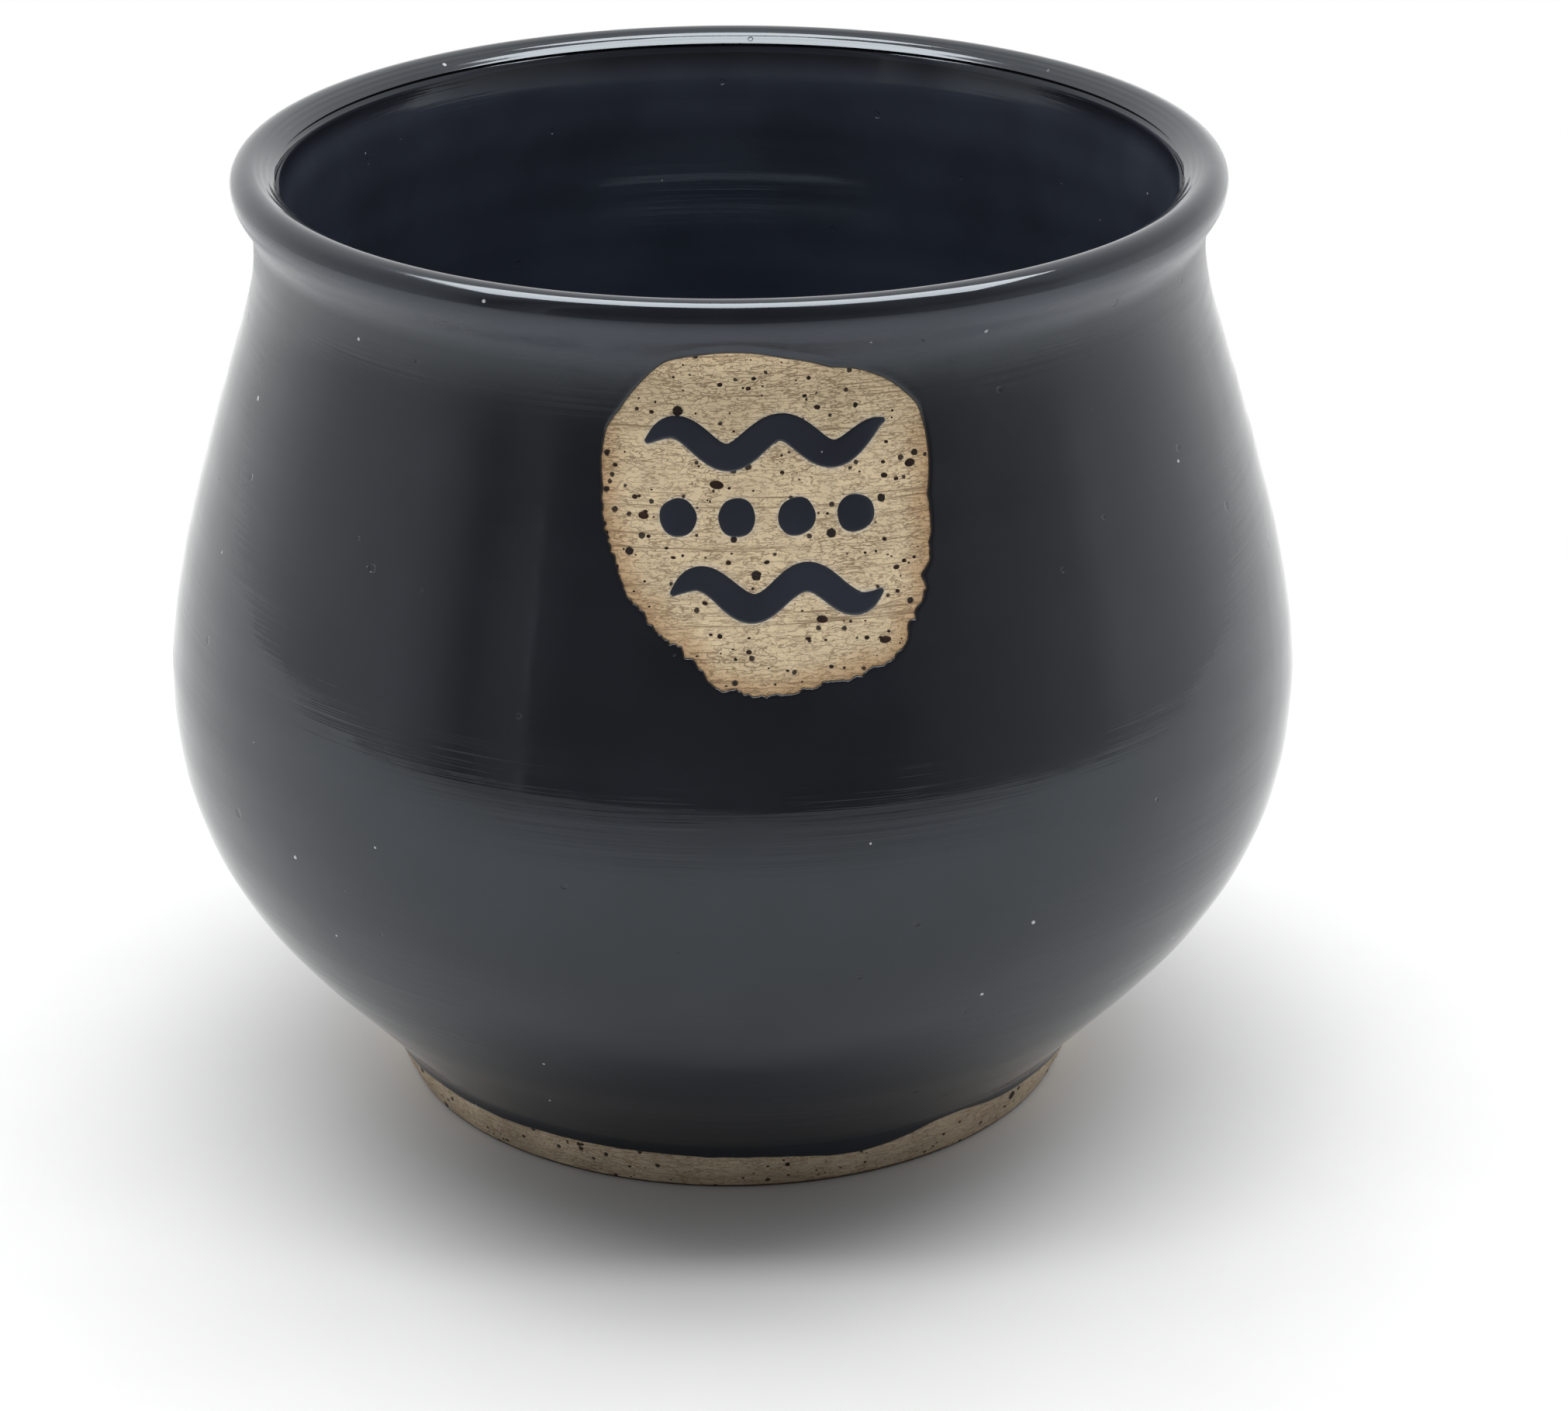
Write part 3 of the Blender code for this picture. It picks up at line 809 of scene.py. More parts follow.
def glaze_sheet(outline, glaze, window, steps, skip, field, rim, cuts):
    """One side of the coat: turned, opened for the window, and gathered to the window's torn edge."""
    shape = bmesh.new()
    inwards, bearing, reach, pooled = new_layers(shape, "inwards", "bearing", "reach", "pooled")
    first = glaze.line + rim[0] + FIRST_ROW_GAP
    rows = [Vector((float(outline.radius(glaze.line + row)), glaze.line + row)) for row in reversed(rim)]
    covered = [point for point in outline.outer if point.y > first] + outline.lip + outline.inner
    turned_sheet(shape, rows + covered[:-1:skip] + covered[-1:], steps)
    bmesh.ops.delete(shape, geom=faces_in_field(shape, outline, window, WINDOW_MARGIN), context="FACES")
    places = places_of(shape.verts)
    outside = outline.is_outside(np.hypot(places[:, 0], places[:, 1]), places[:, 2])
    for vert, out in zip(shape.verts, outside):
        vert[inwards] = vert.co.z - glaze.line if out and vert.co.z < first else FAR
        under = outline.corner.y - vert.co.z
        # Inside the bowl the lighter glaze colour is painted light, growing with depth under the lip's
        # corner.
        vert[pooled] = 0 if out else smooth(*PAINTED_LIGHT_HALF, under) * (1 + smooth(*PAINTED_LIGHT_WHOLE, under)) / 2
    loop = window_loop(shape)
    if cuts:
        bmesh.ops.subdivide_edges(shape, edges=loop, cuts=cuts)
        loop = window_loop(shape)
    for vert in dict.fromkeys(vert for edge in loop for vert in edge.verts):
        vert.co = outline.at(math.atan2(vert.co.y, vert.co.x), vert.co.z, 0)
        place = Vector((vert.co.x, vert.co.z)) - window.middle
        vert[bearing] = math.atan2(place.y, place.x)
        vert[reach] = place.length
        vert[inwards] = FAR
    for share_out, distance in [(amount, rim[0]) for amount in field] + [(0, amount) for amount in rim]:
        grown = bmesh.ops.extrude_edge_only(shape, edges=loop)["geom"]
        loop = of_kind(grown, bmesh.types.BMEdge)
        for vert in of_kind(grown, bmesh.types.BMVert):
            plain = float(window.reach(vert[bearing]))
            away = distance + (vert[reach] - plain - distance) * share_out
            torn = float(window.tear(vert[bearing])) * math.exp(-away / TEAR_REACH)
            place = window.place(vert[bearing], plain + torn + away)
            vert.co = outline.front(place.x, place.y, 0)
            vert[inwards] = away
    bmesh.ops.recalc_face_normals(shape, faces=shape.faces)
    shape.normal_update()
    if max(shape.verts, key=lambda vert: vert.co.x).normal.x < 0:
        bmesh.ops.reverse_faces(shape, faces=shape.faces)
        shape.normal_update()
    return shape


def lift_sheet(shape, outline, glaze, lift):
    """Moves a sheet off the clay. lift gives the heights from the places and their distances from an edge."""
    inwards = shape.verts.layers.float["inwards"]
    places = places_of(shape.verts)
    normals = np.array([tuple(vert.normal) for vert in shape.verts])
    heights = lift(places, np.array([vert[inwards] for vert in shape.verts]))
    radius, turn = np.hypot(places[:, 0], places[:, 1]), np.arctan2(places[:, 1], places[:, 0])
    outside = outline.is_outside(radius, places[:, 2]) & (places[:, 2] < outline.edge.y - BELOW_EDGE)
    lines = np.array([glaze_line(angle, glaze) for angle in turn[places[:, 2] < glaze.line + WAVER_FADE]])
    level = places[:, 2].copy()
    near = level < glaze.line + WAVER_FADE
    level[near] += (lines - glaze.line) * (1 - (level[near] - glaze.line) / WAVER_FADE)
    moved = places + normals * heights[:, None]
    moved[outside] = outline.at(turn, level, heights)[outside]
    move_to(shape.verts, moved)


def glaze_mesh(outline, glaze, window):
    """The coat as a closed skin: a fine face, a plain hidden side, and both joined at the two edges."""
    face = glaze_sheet(outline, glaze, window, COAT_STEPS, 1, FIELD, RIM, EDGE_CUTS)
    lift_sheet(face, outline, glaze, lambda *where: coat_lift(outline, glaze, window, *where))
    back = glaze_sheet(outline, glaze, window, BACK_STEPS, 2, FIELD[1:2], BACK_RIM, 0)
    lift_sheet(back, outline, glaze, lambda places, inwards: np.full(len(places), glaze.back))
    bmesh.ops.reverse_faces(back, faces=back.faces)
    hidden = bpy.data.meshes.new("hidden side")
    back.to_mesh(hidden)
    back.free()
    face.from_mesh(hidden)
    bpy.data.meshes.remove(hidden)
    bmesh.ops.bridge_loops(face, edges=window_loop(face))
    bmesh.ops.bridge_loops(face, edges=foot_loop(face))
    return face


# Brushed marks

MARK_ROWS = 12
WAVE_COLUMNS = 120
DOT_COLUMNS = 28
MARK_HEIGHT = 0.00013
MARK_MILK = 0.22
MARK_ROLL = 1.6
MARK_EDGE = 0.0002
MARK_WELD = 2e-6
# How much closer together a grid's steps are at its ends, and how far along a wave its tips begin
DOT_SPREAD = 1.6
WAVE_SPREAD = (1.25, 1.8)
WAVE_TIP = (0.95, 1.0)
# How uneven a dot's edge is, the scale of that, and how far apart in the noise the dots lie for each metre
DOT_WOBBLE = 0.07
DOT_WOBBLE_SCALE = 1.3
DOT_WOBBLE_LAYERS = 400


def mark_mesh(outline, glaze, mark):
    """A mark as a closed drop of glaze: a domed face and a flat back that meet at its edge."""
    shape = bmesh.new()
    inwards, pooled = new_layers(shape, "inwards", "pooled")
    long = len(mark.spine) > 1
    columns = WAVE_COLUMNS if long else DOT_COLUMNS
    rows = MARK_ROWS if long else DOT_COLUMNS
    low = glaze.bare - SINK
    for high in (MARK_HEIGHT, 0):
        grid = bmesh.ops.create_grid(shape, x_segments=columns, y_segments=rows, size=1)
        for vert in grid["verts"]:
            place, inward = wave_place(mark, vert.co) if long else dot_place(mark, vert.co)
            t = min(1.0, max(0.0, inward / (MARK_ROLL * glaze.rolled_edge)))
            vert.co = outline.front(place.x, place.y, low + high * math.sqrt(1 - (1 - t) ** 2))
            vert[inwards] = inward + MARK_EDGE
            vert[pooled] = MARK_MILK
    weld(shape, MARK_WELD)
    return shape


def spread(value, power):
    """A grid's even steps from -1 to 1, drawn closer together at both ends."""
    return math.copysign(1 - (1 - abs(value)) ** power, value)


def dot_place(mark, grid):
    """Where a dot's grid point goes in front view, and how far in from the edge it is."""
    u, v = spread(grid.x, DOT_SPREAD), spread(grid.y, DOT_SPREAD)
    disc = Vector((u * math.sqrt(1 - v * v / 2), v * math.sqrt(1 - u * u / 2)))
    layered = Vector((disc.x, disc.y, mark.spine[0].x * DOT_WOBBLE_LAYERS))
    wobble = 1 + DOT_WOBBLE * noise.noise(layered * DOT_WOBBLE_SCALE)
    return mark.spine[0] + disc * mark.halves[0] * wobble, (1 - disc.length) * mark.halves[0]


def wave_place(mark, grid):
    """Where a wave's grid point goes in front view, and how far in from the edge it is."""
    u, v = spread(grid.x, WAVE_SPREAD[0]), spread(grid.y, WAVE_SPREAD[1])
    last = len(mark.spine) - 1
    along = (u + 1) / 2 * last
    i = min(int(along), last - 1)
    middle = mark.spine[i].lerp(mark.spine[i + 1], along - i)
    half = mark.halves[i] + (mark.halves[i + 1] - mark.halves[i]) * (along - i)
    run = (mark.spine[min(i + 2, last)] - mark.spine[max(i - 1, 0)]).normalized()
    across = Vector((-run.y, run.x))
    tip = run * math.copysign(half, u) * math.sqrt(max(0.0, 1 - v * v)) * smooth(*WAVE_TIP, abs(u))
    to_end = (1 - abs(u)) * last / 2 * (mark.spine[1] - mark.spine[0]).length
    return middle + across * half * v + tip, min((1 - abs(v)) * half, to_end)


# Iron spots

SPOT_SEED = 11
WINDOW_SPOTS = 92
FOOT_SPOTS = 54
BIG_SPOTS = 5
# Radius of a big spot, from and to, and of a small one, as its least and what chance adds
BIG_SPOT = (0.0006, 0.0009)
WINDOW_SPOT = (0.00015, 0.00026)
FOOT_SPOT = (0.00014, 0.00022)
SPOT_GAP = 0.0003
FOOT_SPOT_GAP = 0.0004
# How deep a spot sits, and its shape, as shares of its radius
WINDOW_SPOT_SINK = 0.12
FOOT_SPOT_SINK = 0.15
SPOT_THICK = 0.30
SPOT_WIDE = (0.8, 1.25)
SPOT_TALL = (0.75, 1.1)
SPOT_LEAN = 0.6


def window_spots(outline, glaze, window, marks, chance):
    places = []
    while len(places) < WINDOW_SPOTS:
        across, rise = chance.uniform(-1, 1, 2) * (window.sizes.width / 2, window.sizes.height / 2)
        size = WINDOW_SPOT[0] + WINDOW_SPOT[1] * chance.random() ** 2
        if len(places) < BIG_SPOTS:
            size = chance.uniform(*BIG_SPOT)
        clear = size + SPOT_GAP
        place = window.middle.x + across, window.middle.y + rise
        beside = min(mark.distance(*place) for mark in marks)
        if window.depth(across, rise) > clear and beside > clear:
            places.append((outline.front(*place, glaze.bare - size * WINDOW_SPOT_SINK), size))
    return places


def foot_spots(outline, glaze, chance):
    places = []
    for _ in range(FOOT_SPOTS):
        turn = chance.uniform(-math.pi, math.pi)
        size = FOOT_SPOT[0] + FOOT_SPOT[1] * chance.random() ** 2
        top = glaze_line(turn, glaze) - size - FOOT_SPOT_GAP
        height = chance.uniform(outline.sizes.foot_edge + size, top)
        lift = clay_fill(outline, glaze, height) - size * FOOT_SPOT_SINK
        places.append((outline.at(turn, height, lift), size))
    return places


def spot_mesh(outline, glaze, window, marks):
    """Blisters of melted iron on the bare clay, in the window and round the foot."""
    shape = bmesh.new()
    chance = np.random.default_rng(SPOT_SEED)
    places = window_spots(outline, glaze, window, marks, chance) + foot_spots(outline, glaze, chance)
    for place, size in places:
        centre = Vector(place)
        squash = Matrix.Diagonal((SPOT_THICK, chance.uniform(*SPOT_WIDE), chance.uniform(*SPOT_TALL), 1))
        spin = Matrix.Rotation(chance.uniform(-SPOT_LEAN, SPOT_LEAN), 4, "X")
        tilt = Matrix.Rotation(math.atan2(centre.y, centre.x), 4, "Z")
        put = Matrix.Translation(centre) @ tilt @ spin @ squash
        bmesh.ops.create_icosphere(shape, subdivisions=2, radius=size, matrix=put)
    return shape


# Shader building


def once(store, name, make, *given):
    """The file's own group or material of that name, made now if there is none."""
    return store.get(name) or make(name, *given)


def rgba(colour, level=1.0):
    return (*(part * level for part in colour), 1.0)


class Tree:
    """A node tree being filled. Each call adds a node and joins the values or sockets given to it."""

    def __init__(self, tree):
        self.tree = tree

    def fill(self, made, inputs):
        """Joins sockets to a node's inputs, or sets values there, by name or number."""
        for name, value in inputs.items():
            if isinstance(value, bpy.types.NodeSocket):
                self.tree.links.new(value, made.inputs[name])
            else:
                made.inputs[name].default_value = value
        return made

    def add(self, kind, inputs=None, **settings):
        made = self.tree.nodes.new("ShaderNode" + kind)
        for name, value in settings.items():
            setattr(made, name, value)
        return self.fill(made, inputs or {})

    def group(self, name, make, inputs):
        return self.add("Group", inputs, node_tree=once(bpy.data.node_groups, name, make)).outputs

    def math(self, operation, first, second=0.0):
        return self.add("Math", {0: first, 1: second}, operation=operation).outputs[0]

    def vector_math(self, operation, first, second):
        return self.add("VectorMath", {0: first, 1: second}, operation=operation).outputs[0]

    def total(self, *parts):
        """The sum of values, each times a factor."""
        whole = 0.0
        for value, factor in parts:
            inputs = {0: value, 1: factor, 2: whole}
            whole = self.add("Math", inputs, operation="MULTIPLY_ADD").outputs[0]
        return whole

    def off(self, value, level):
        """How far a value is from a level."""
        return self.math("ABSOLUTE", self.math("SUBTRACT", value, level))

    def ramp(self, value, low, high, start=0.0, end=1.0):
        """A smooth step of a value from low to high, given as start to end."""
        inputs = {"Value": value, "From Min": low, "From Max": high, "To Min": start, "To Max": end}
        return self.add("MapRange", inputs, interpolation_type="SMOOTHSTEP").outputs[0]

    def mix(self, factor, first, second, blend="MIX"):
        inputs = {0: factor, 6: first, 7: second}
        return self.add("Mix", inputs, data_type="RGBA", blend_type=blend).outputs[2]

    def noise(self, vector, scale, detail=2.0, roughness=0.5):
        inputs = {"Vector": vector, "Scale": scale, "Detail": detail, "Roughness": roughness}
        return self.add("TexNoise", inputs).outputs[0]

    def stretched_noise(self, vector, scales, detail, roughness=0.5):
        """A noise with a scale of its own along each axis."""
        stretched = self.add("Mapping", {"Vector": vector, "Scale": scales}, vector_type="POINT").outputs[0]
        return self.noise(stretched, 1.0, detail, roughness)

    def spots(self, vector, cells, size, share):
        inputs = {"Vector": vector, "Cells per metre": cells, "Size": size, "Share": share}
        return self.group("Scattered spots", scattered_spots, inputs)["Mask"]

    def lines(self, vector, per_metre):
        inputs = {"Vector": vector, "Lines per metre": per_metre}
        return self.group("Throwing lines", throwing_lines, inputs)

    def bump(self, height, strength=1.0):
        return self.add("Bump", {"Strength": strength, "Distance": 1.0, "Height": height}).outputs[0]

    def attribute(self, name):
        return self.add("Attribute", attribute_name=name).outputs["Fac"]

    def height_of(self, vector):
        return self.add("SeparateXYZ", {0: vector}).outputs[2]


def new_group(name, inputs, outputs):
    """A shader group of plain numbers that reads a place, and its tree and end sockets to fill."""
    group = bpy.data.node_groups.new(name, "ShaderNodeTree")
    group.interface.new_socket("Vector", in_out="INPUT", socket_type="NodeSocketVector")
    for socket, value in inputs.items():
        made = group.interface.new_socket(socket, in_out="INPUT", socket_type="NodeSocketFloat")
        made.default_value = value
    for socket in outputs:
        group.interface.new_socket(socket, in_out="OUTPUT", socket_type="NodeSocketFloat")
    tree = Tree(group)
    start = group.nodes.new("NodeGroupInput").outputs
    end = group.nodes.new("NodeGroupOutput")
    return group, tree, start, end


# How often per metre a finger line changes along its way round the pot, and where in the noise it cuts in
LINE_WANDER = 14.0
GROOVE_LEVEL = 0.62
GROOVE_WIDTH = 0.02


def throwing_lines(name):
    """Fine level lines from the potter's fingers, as a height about 0."""
    group, tree, start, end = new_group(name, {"Lines per metre": 1500.0}, ("Height", "Groove"))
    flat = tree.add("CombineXYZ", {0: LINE_WANDER, 1: LINE_WANDER, 2: start["Lines per metre"]}).outputs[0]
    flat = tree.vector_math("MULTIPLY", start["Vector"], flat)
    lines = tree.noise(flat, scale=1.0, detail=3.0, roughness=0.6)
    patches = tree.ramp(tree.noise(start["Vector"], scale=60.0, detail=1.0), 0.38, 0.62, start=0.25, end=1.0)
    height = tree.math("MULTIPLY", tree.math("SUBTRACT", lines, 0.5), patches)
    groove = tree.ramp(tree.off(lines, GROOVE_LEVEL), 0.0, GROOVE_WIDTH, start=1.0, end=0.0)
    tree.fill(end, {"Height": height, "Groove": groove})
    return group


# Unevenness of a spot's outline, and how far out it is solid
SPOT_PUSH = 0.00022
SPOT_PUSH_SCALE = 2600.0
SPOT_SOLID = 0.8
SPOT_LEAST = 0.35


def scattered_spots(name):
    """Round spots scattered through the clay or the glaze, as a mask."""
    inputs = {"Cells per metre": 400.0, "Size": 0.2, "Share": 0.3}
    group, tree, start, end = new_group(name, inputs, ("Mask",))
    inputs = {"Vector": start["Vector"], "Scale": SPOT_PUSH_SCALE, "Detail": 1.0}
    push = tree.vector_math("SUBTRACT", tree.add("TexNoise", inputs).outputs[1], (0.5, 0.5, 0.5))
    push = tree.add("VectorMath", {0: push, "Scale": SPOT_PUSH}, operation="SCALE").outputs[0]
    place = tree.vector_math("ADD", start["Vector"], push)
    cells = tree.add("TexVoronoi", {"Vector": place, "Scale": start["Cells per metre"]}).outputs
    chance = tree.add("SeparateXYZ", {0: cells["Color"]}).outputs
    chosen = tree.math("LESS_THAN", chance[0], start["Share"])
    size = tree.math("MULTIPLY", start["Size"], tree.math("ADD", chance[1], SPOT_LEAST))
    solid = tree.math("MULTIPLY", size, SPOT_SOLID)
    spot = tree.ramp(cells["Distance"], solid, size, start=1.0, end=0.0)
    tree.fill(end, {"Mask": tree.math("MULTIPLY", spot, chosen)})
    return group


def new_material(name):
    """A material with a tree to fill, its Principled shader, and places on the object."""
    made = bpy.data.materials.new(name)
    made.use_nodes = True
    shader = made.node_tree.nodes["Principled BSDF"]
    tree = Tree(made.node_tree)
    return made, tree, shader, tree.add("TexCoord").outputs["Object"]


# Reliefs of the glaze, in metres
GLAZE_LINES = 0.000038
ORANGE_PEEL = 0.000009
GLAZE_SWELL = 0.00005
PINHOLE_DEPTH = 0.00008
# Keeps the pinholes from lying on the painted glints
PIT_SHIFT = (0.31, 0.17, 0.23)
# Depth of a thin edge of glaze, and the level from which the glaze counts as lighter: milky in the marks,
# painted light inside the bowl
THIN_EDGE = 0.00035
MILK_AND_PAINTED_LIGHT_LEVEL = 0.01
# Heights between which the glaze under the lip turns a little lighter, a painted reflection, and satin, and
# at which each ends
COLLAR_PAINTED_REFLECTION = (0.1165, 0.1205)
COLLAR_PAINTED_REFLECTION_END = (0.1225, 0.1250)
COLLAR_SATIN = (0.098, 0.121)
COLLAR_SATIN_END = (0.1222, 0.1236)
# Colour of the pale specks, painted glints on the glaze
PAINTED_GLINT_COLOUR = (0.70, 0.71, 0.72, 1)
GLOSS_TINT = (0.84, 0.93, 1.0, 1)


def glaze_material(name, colours):
    """Glossy blue-black glaze with faint throwing lines, orange peel, pinholes and pale specks that are
    painted glints, lightened with painted light inside the bowl and a painted reflection under the lip.
    """
    made, tree, shader, place = new_material(name)
    inside = tree.attribute("pooled")
    outside = tree.math("GREATER_THAN", MILK_AND_PAINTED_LIGHT_LEVEL, inside)
    high = tree.height_of(place)
    # Lighter glaze: painted light inside the bowl, and the marks' own milky colour in the marks.
    base = tree.mix(inside, rgba(colours.glaze), rgba(colours.pooled))
    # Painted reflection: the glaze under the lip is lightened in colour.
    painted_collar_reflection = tree.ramp(high, *COLLAR_PAINTED_REFLECTION, start=0.0, end=0.28)
    collar = tree.math("MULTIPLY", painted_collar_reflection, tree.ramp(high, *COLLAR_PAINTED_REFLECTION_END, start=1.0, end=0.12))
    base = tree.mix(tree.math("MULTIPLY", collar, outside), base, rgba(colours.pooled))
    cloud = tree.ramp(tree.noise(place, scale=55.0, detail=3.0), 0.3, 0.7, start=0.82, end=1.18)
    base = tree.mix(1.0, base, cloud, "MULTIPLY")
    thin = tree.ramp(tree.attribute("inwards"), 0.0, THIN_EDGE, start=0.8, end=0.0)
    base = tree.mix(thin, base, rgba(colours.thin_glaze))
    # Painted glints: small pale specks scattered over the glaze.
    painted_glints = tree.spots(place, cells=200.0, size=0.048, share=0.34)
    base = tree.mix(tree.math("MULTIPLY", painted_glints, 0.75), base, PAINTED_GLINT_COLOUR)
    pits = tree.spots(tree.vector_math("ADD", place, PIT_SHIFT), cells=170.0, size=0.075, share=0.6)
    lines = tree.lines(place, per_metre=900.0)["Height"]
    peel = tree.math("SUBTRACT", tree.noise(place, scale=420.0, detail=2.0), 0.5)
    swell = tree.math("SUBTRACT", tree.noise(place, scale=90.0, detail=1.0), 0.5)
    height = tree.total(
        (lines, GLAZE_LINES), (peel, ORANGE_PEEL), (swell, GLAZE_SWELL), (pits, -PINHOLE_DEPTH)
    )
    smear = tree.stretched_noise(place, scales=(30, 30, 240), detail=3.0)
    smear = tree.ramp(smear, 0.35, 0.75, start=0.05, end=0.14)
    satin = tree.ramp(high, *COLLAR_SATIN, start=0.0, end=0.21)
    satin = tree.math("MULTIPLY", satin, tree.ramp(high, *COLLAR_SATIN_END, start=1.0, end=0.0))
    rough = tree.total((smear, 1.0), (painted_glints, 0.3), (inside, 0.09), (satin, outside))
    sockets = {"Base Color": base, "Roughness": rough, "IOR": 1.56, "Specular Tint": GLOSS_TINT}
    tree.fill(shader, {**sockets, "Normal": tree.bump(height)})
    return made


# Depths into the window over which the clay is toasted, and heights over which that fades
FLASH = (-0.0016, 0.0026)
FLASH_WAVER = 0.0026
FLASH_TOP = (0.106, 0.114)
HALO_REACH = 0.0006
PALE_HALO = (0.80, 0.70, 0.55, 1)
# Heights over which the foot's darker clay ends, and of the black line along its bottom edge, a painted
# contact shadow where the foot meets the table
FOOT_TOP = (0.012, 0.02)
PAINTED_EDGE_SHADOW = (0.00045, 0.0006)
PAINTED_EDGE_SHADOW_WAVER = 0.0002
# Reliefs of the clay, in metres
WRINKLE_GROOVE = 0.00009
WRINKLE_SWELL = 0.00018
CLAY_LINES = 0.00007
SCRATCH_DEPTH = 0.00003
CLAY_GRAIN = 0.00002
# Keeps the coarse specks from lying on the fine ones
SPECK_SHIFT = (0.11, 0.37, 0.05)


def clay_material(name, colours):
    """Bare speckled stoneware: tan, toasted beside the glaze, with worm-like wrinkles and level scratches,
    and a painted contact shadow along the foot's bottom edge.
    """
    made, tree, shader, place = new_material(name)
    high = tree.height_of(place)
    tint = tree.ramp(tree.noise(place, scale=170.0, detail=5.0, roughness=0.65), 0.3, 0.7)
    tan = tree.mix(tint, rgba(colours.clay, 0.90), rgba(colours.clay, 1.06))
    waver = tree.noise(place, scale=260.0, detail=2.0)
    border = tree.total((waver, -FLASH_WAVER), (tree.attribute("border"), 1.0))
    flash = tree.ramp(border, *FLASH, start=0.62, end=0.0)
    flash = tree.math("MULTIPLY", flash, tree.ramp(high, *FLASH_TOP, start=1.0, end=0.15))
    base = tree.mix(flash, tan, rgba(colours.toasted))
    halo = tree.ramp(tree.attribute("beside_mark"), 0.0, HALO_REACH, start=0.6, end=0.0)
    base = tree.mix(halo, base, PALE_HALO)
    grey = tree.ramp(tree.noise(place, scale=90.0, detail=3.0), 0.35, 0.7)
    foot = tree.mix(grey, rgba(colours.foot), rgba(colours.foot, 0.72))
    base = tree.mix(tree.ramp(high, *FOOT_TOP, start=1.0, end=0.0), base, foot)
    # Painted contact shadow: a thin, nearly black line along the foot's bottom edge, where the foot meets the
    # table.
    painted_edge_shadow = tree.total((tree.noise(place, scale=500.0, detail=3.0), PAINTED_EDGE_SHADOW_WAVER), (high, 1.0))
    base = tree.mix(tree.ramp(painted_edge_shadow, *PAINTED_EDGE_SHADOW, start=0.97, end=0.0), base, rgba(colours.iron))
    wrinkle = tree.stretched_noise(place, scales=(430, 430, 1900), detail=2.0, roughness=0.6)
    groove = tree.ramp(tree.off(wrinkle, 0.5), 0.010, 0.036, start=1.0, end=0.0)
    worm = tree.stretched_noise(place, scales=(1250, 1250, 1700), detail=1.0)
    worm = tree.ramp(tree.off(worm, 0.46), 0.004, 0.034, start=0.62, end=0.0)
    faint = tree.noise(place, scale=190.0, detail=3.0, roughness=0.6)
    faint = tree.ramp(faint, 0.36, 0.60, start=0.66, end=1.0)
    groove = tree.math("MULTIPLY", tree.math("MAXIMUM", groove, worm), faint)
    thrown = tree.lines(place, per_metre=800.0)
    scratch = thrown["Groove"]
    # The grooves and scratches are darkened in colour: partly the clay's own brown there, partly painted
    # shade in the recesses.
    dark = tree.math("MAXIMUM", tree.math("MULTIPLY", groove, 0.70), tree.math("MULTIPLY", scratch, 0.74))
    base = tree.mix(dark, base, rgba(colours.toasted, 0.44))
    fine = tree.spots(place, cells=620.0, size=0.20, share=0.58)
    coarse = tree.spots(tree.vector_math("ADD", place, SPECK_SHIFT), cells=330.0, size=0.18, share=0.45)
    base = tree.mix(tree.math("MAXIMUM", tree.math("MULTIPLY", fine, 0.95), coarse), base, rgba(colours.iron))
    height = tree.total(
        (groove, -WRINKLE_GROOVE),
        (wrinkle, WRINKLE_SWELL),
        (thrown["Height"], CLAY_LINES),
        (scratch, -SCRATCH_DEPTH),
        (tree.noise(place, scale=4200.0, detail=2.0), CLAY_GRAIN),
    )
    rough = tree.ramp(tint, 0.0, 1.0, start=0.80, end=0.68)
    sockets = {"Base Color": base, "Roughness": rough, "Specular IOR Level": 0.35}
    tree.fill(shader, {**sockets, "Normal": tree.bump(height, 0.9)})
    return made


IRON_PITS = 0.00004


def iron_material(name, colours):
    """Iron melted out of the clay: nearly black, with a dull sheen and a pitted skin."""
    made, tree, shader, place = new_material(name)
    tone = tree.noise(place, scale=900.0, detail=2.0)
    base = tree.mix(tree.ramp(tone, 0.35, 0.7), rgba(colours.iron), rgba(colours.iron, 2.6))
    height = tree.math("MULTIPLY", tree.noise(place, scale=5200.0, detail=2.0), IRON_PITS)
    rough = tree.ramp(tone, 0.3, 0.7, start=0.6, end=0.85)
    sockets = {"Base Color": base, "Roughness": rough, "Specular IOR Level": 0.2}
    tree.fill(shader, {**sockets, "Normal": tree.bump(height)})
    return made


# Studio

# Reach of the shadow that the camera sees on the table, and the part of the table in front that is grey in
# colour, a painted shade that the glaze mirrors
SHADOW_REACH = (0.12, 0.24)
TABLE_PAINTED_SHADE = (-0.50, -0.10)
PAINTED_SHADE_GREY = (0.50, 0.50, 0.50, 1)
TABLE_TONES = ((0.94, 0.94, 0.94, 1), (0.96, 0.96, 0.96, 1))
# Painted contact shadow, where the shadow in front of the foot is darkest: the way from its middle to the
# bowl's axis, its reach and how dark the table's colour turns there
CONTACT_PLACE = (0.005, 0.036, 0)
CONTACT = (0.014, 0.055)
CONTACT_DARK = 0.40
BLACK = (0, 0, 0, 1)
WHITE = (1, 1, 1, 1)
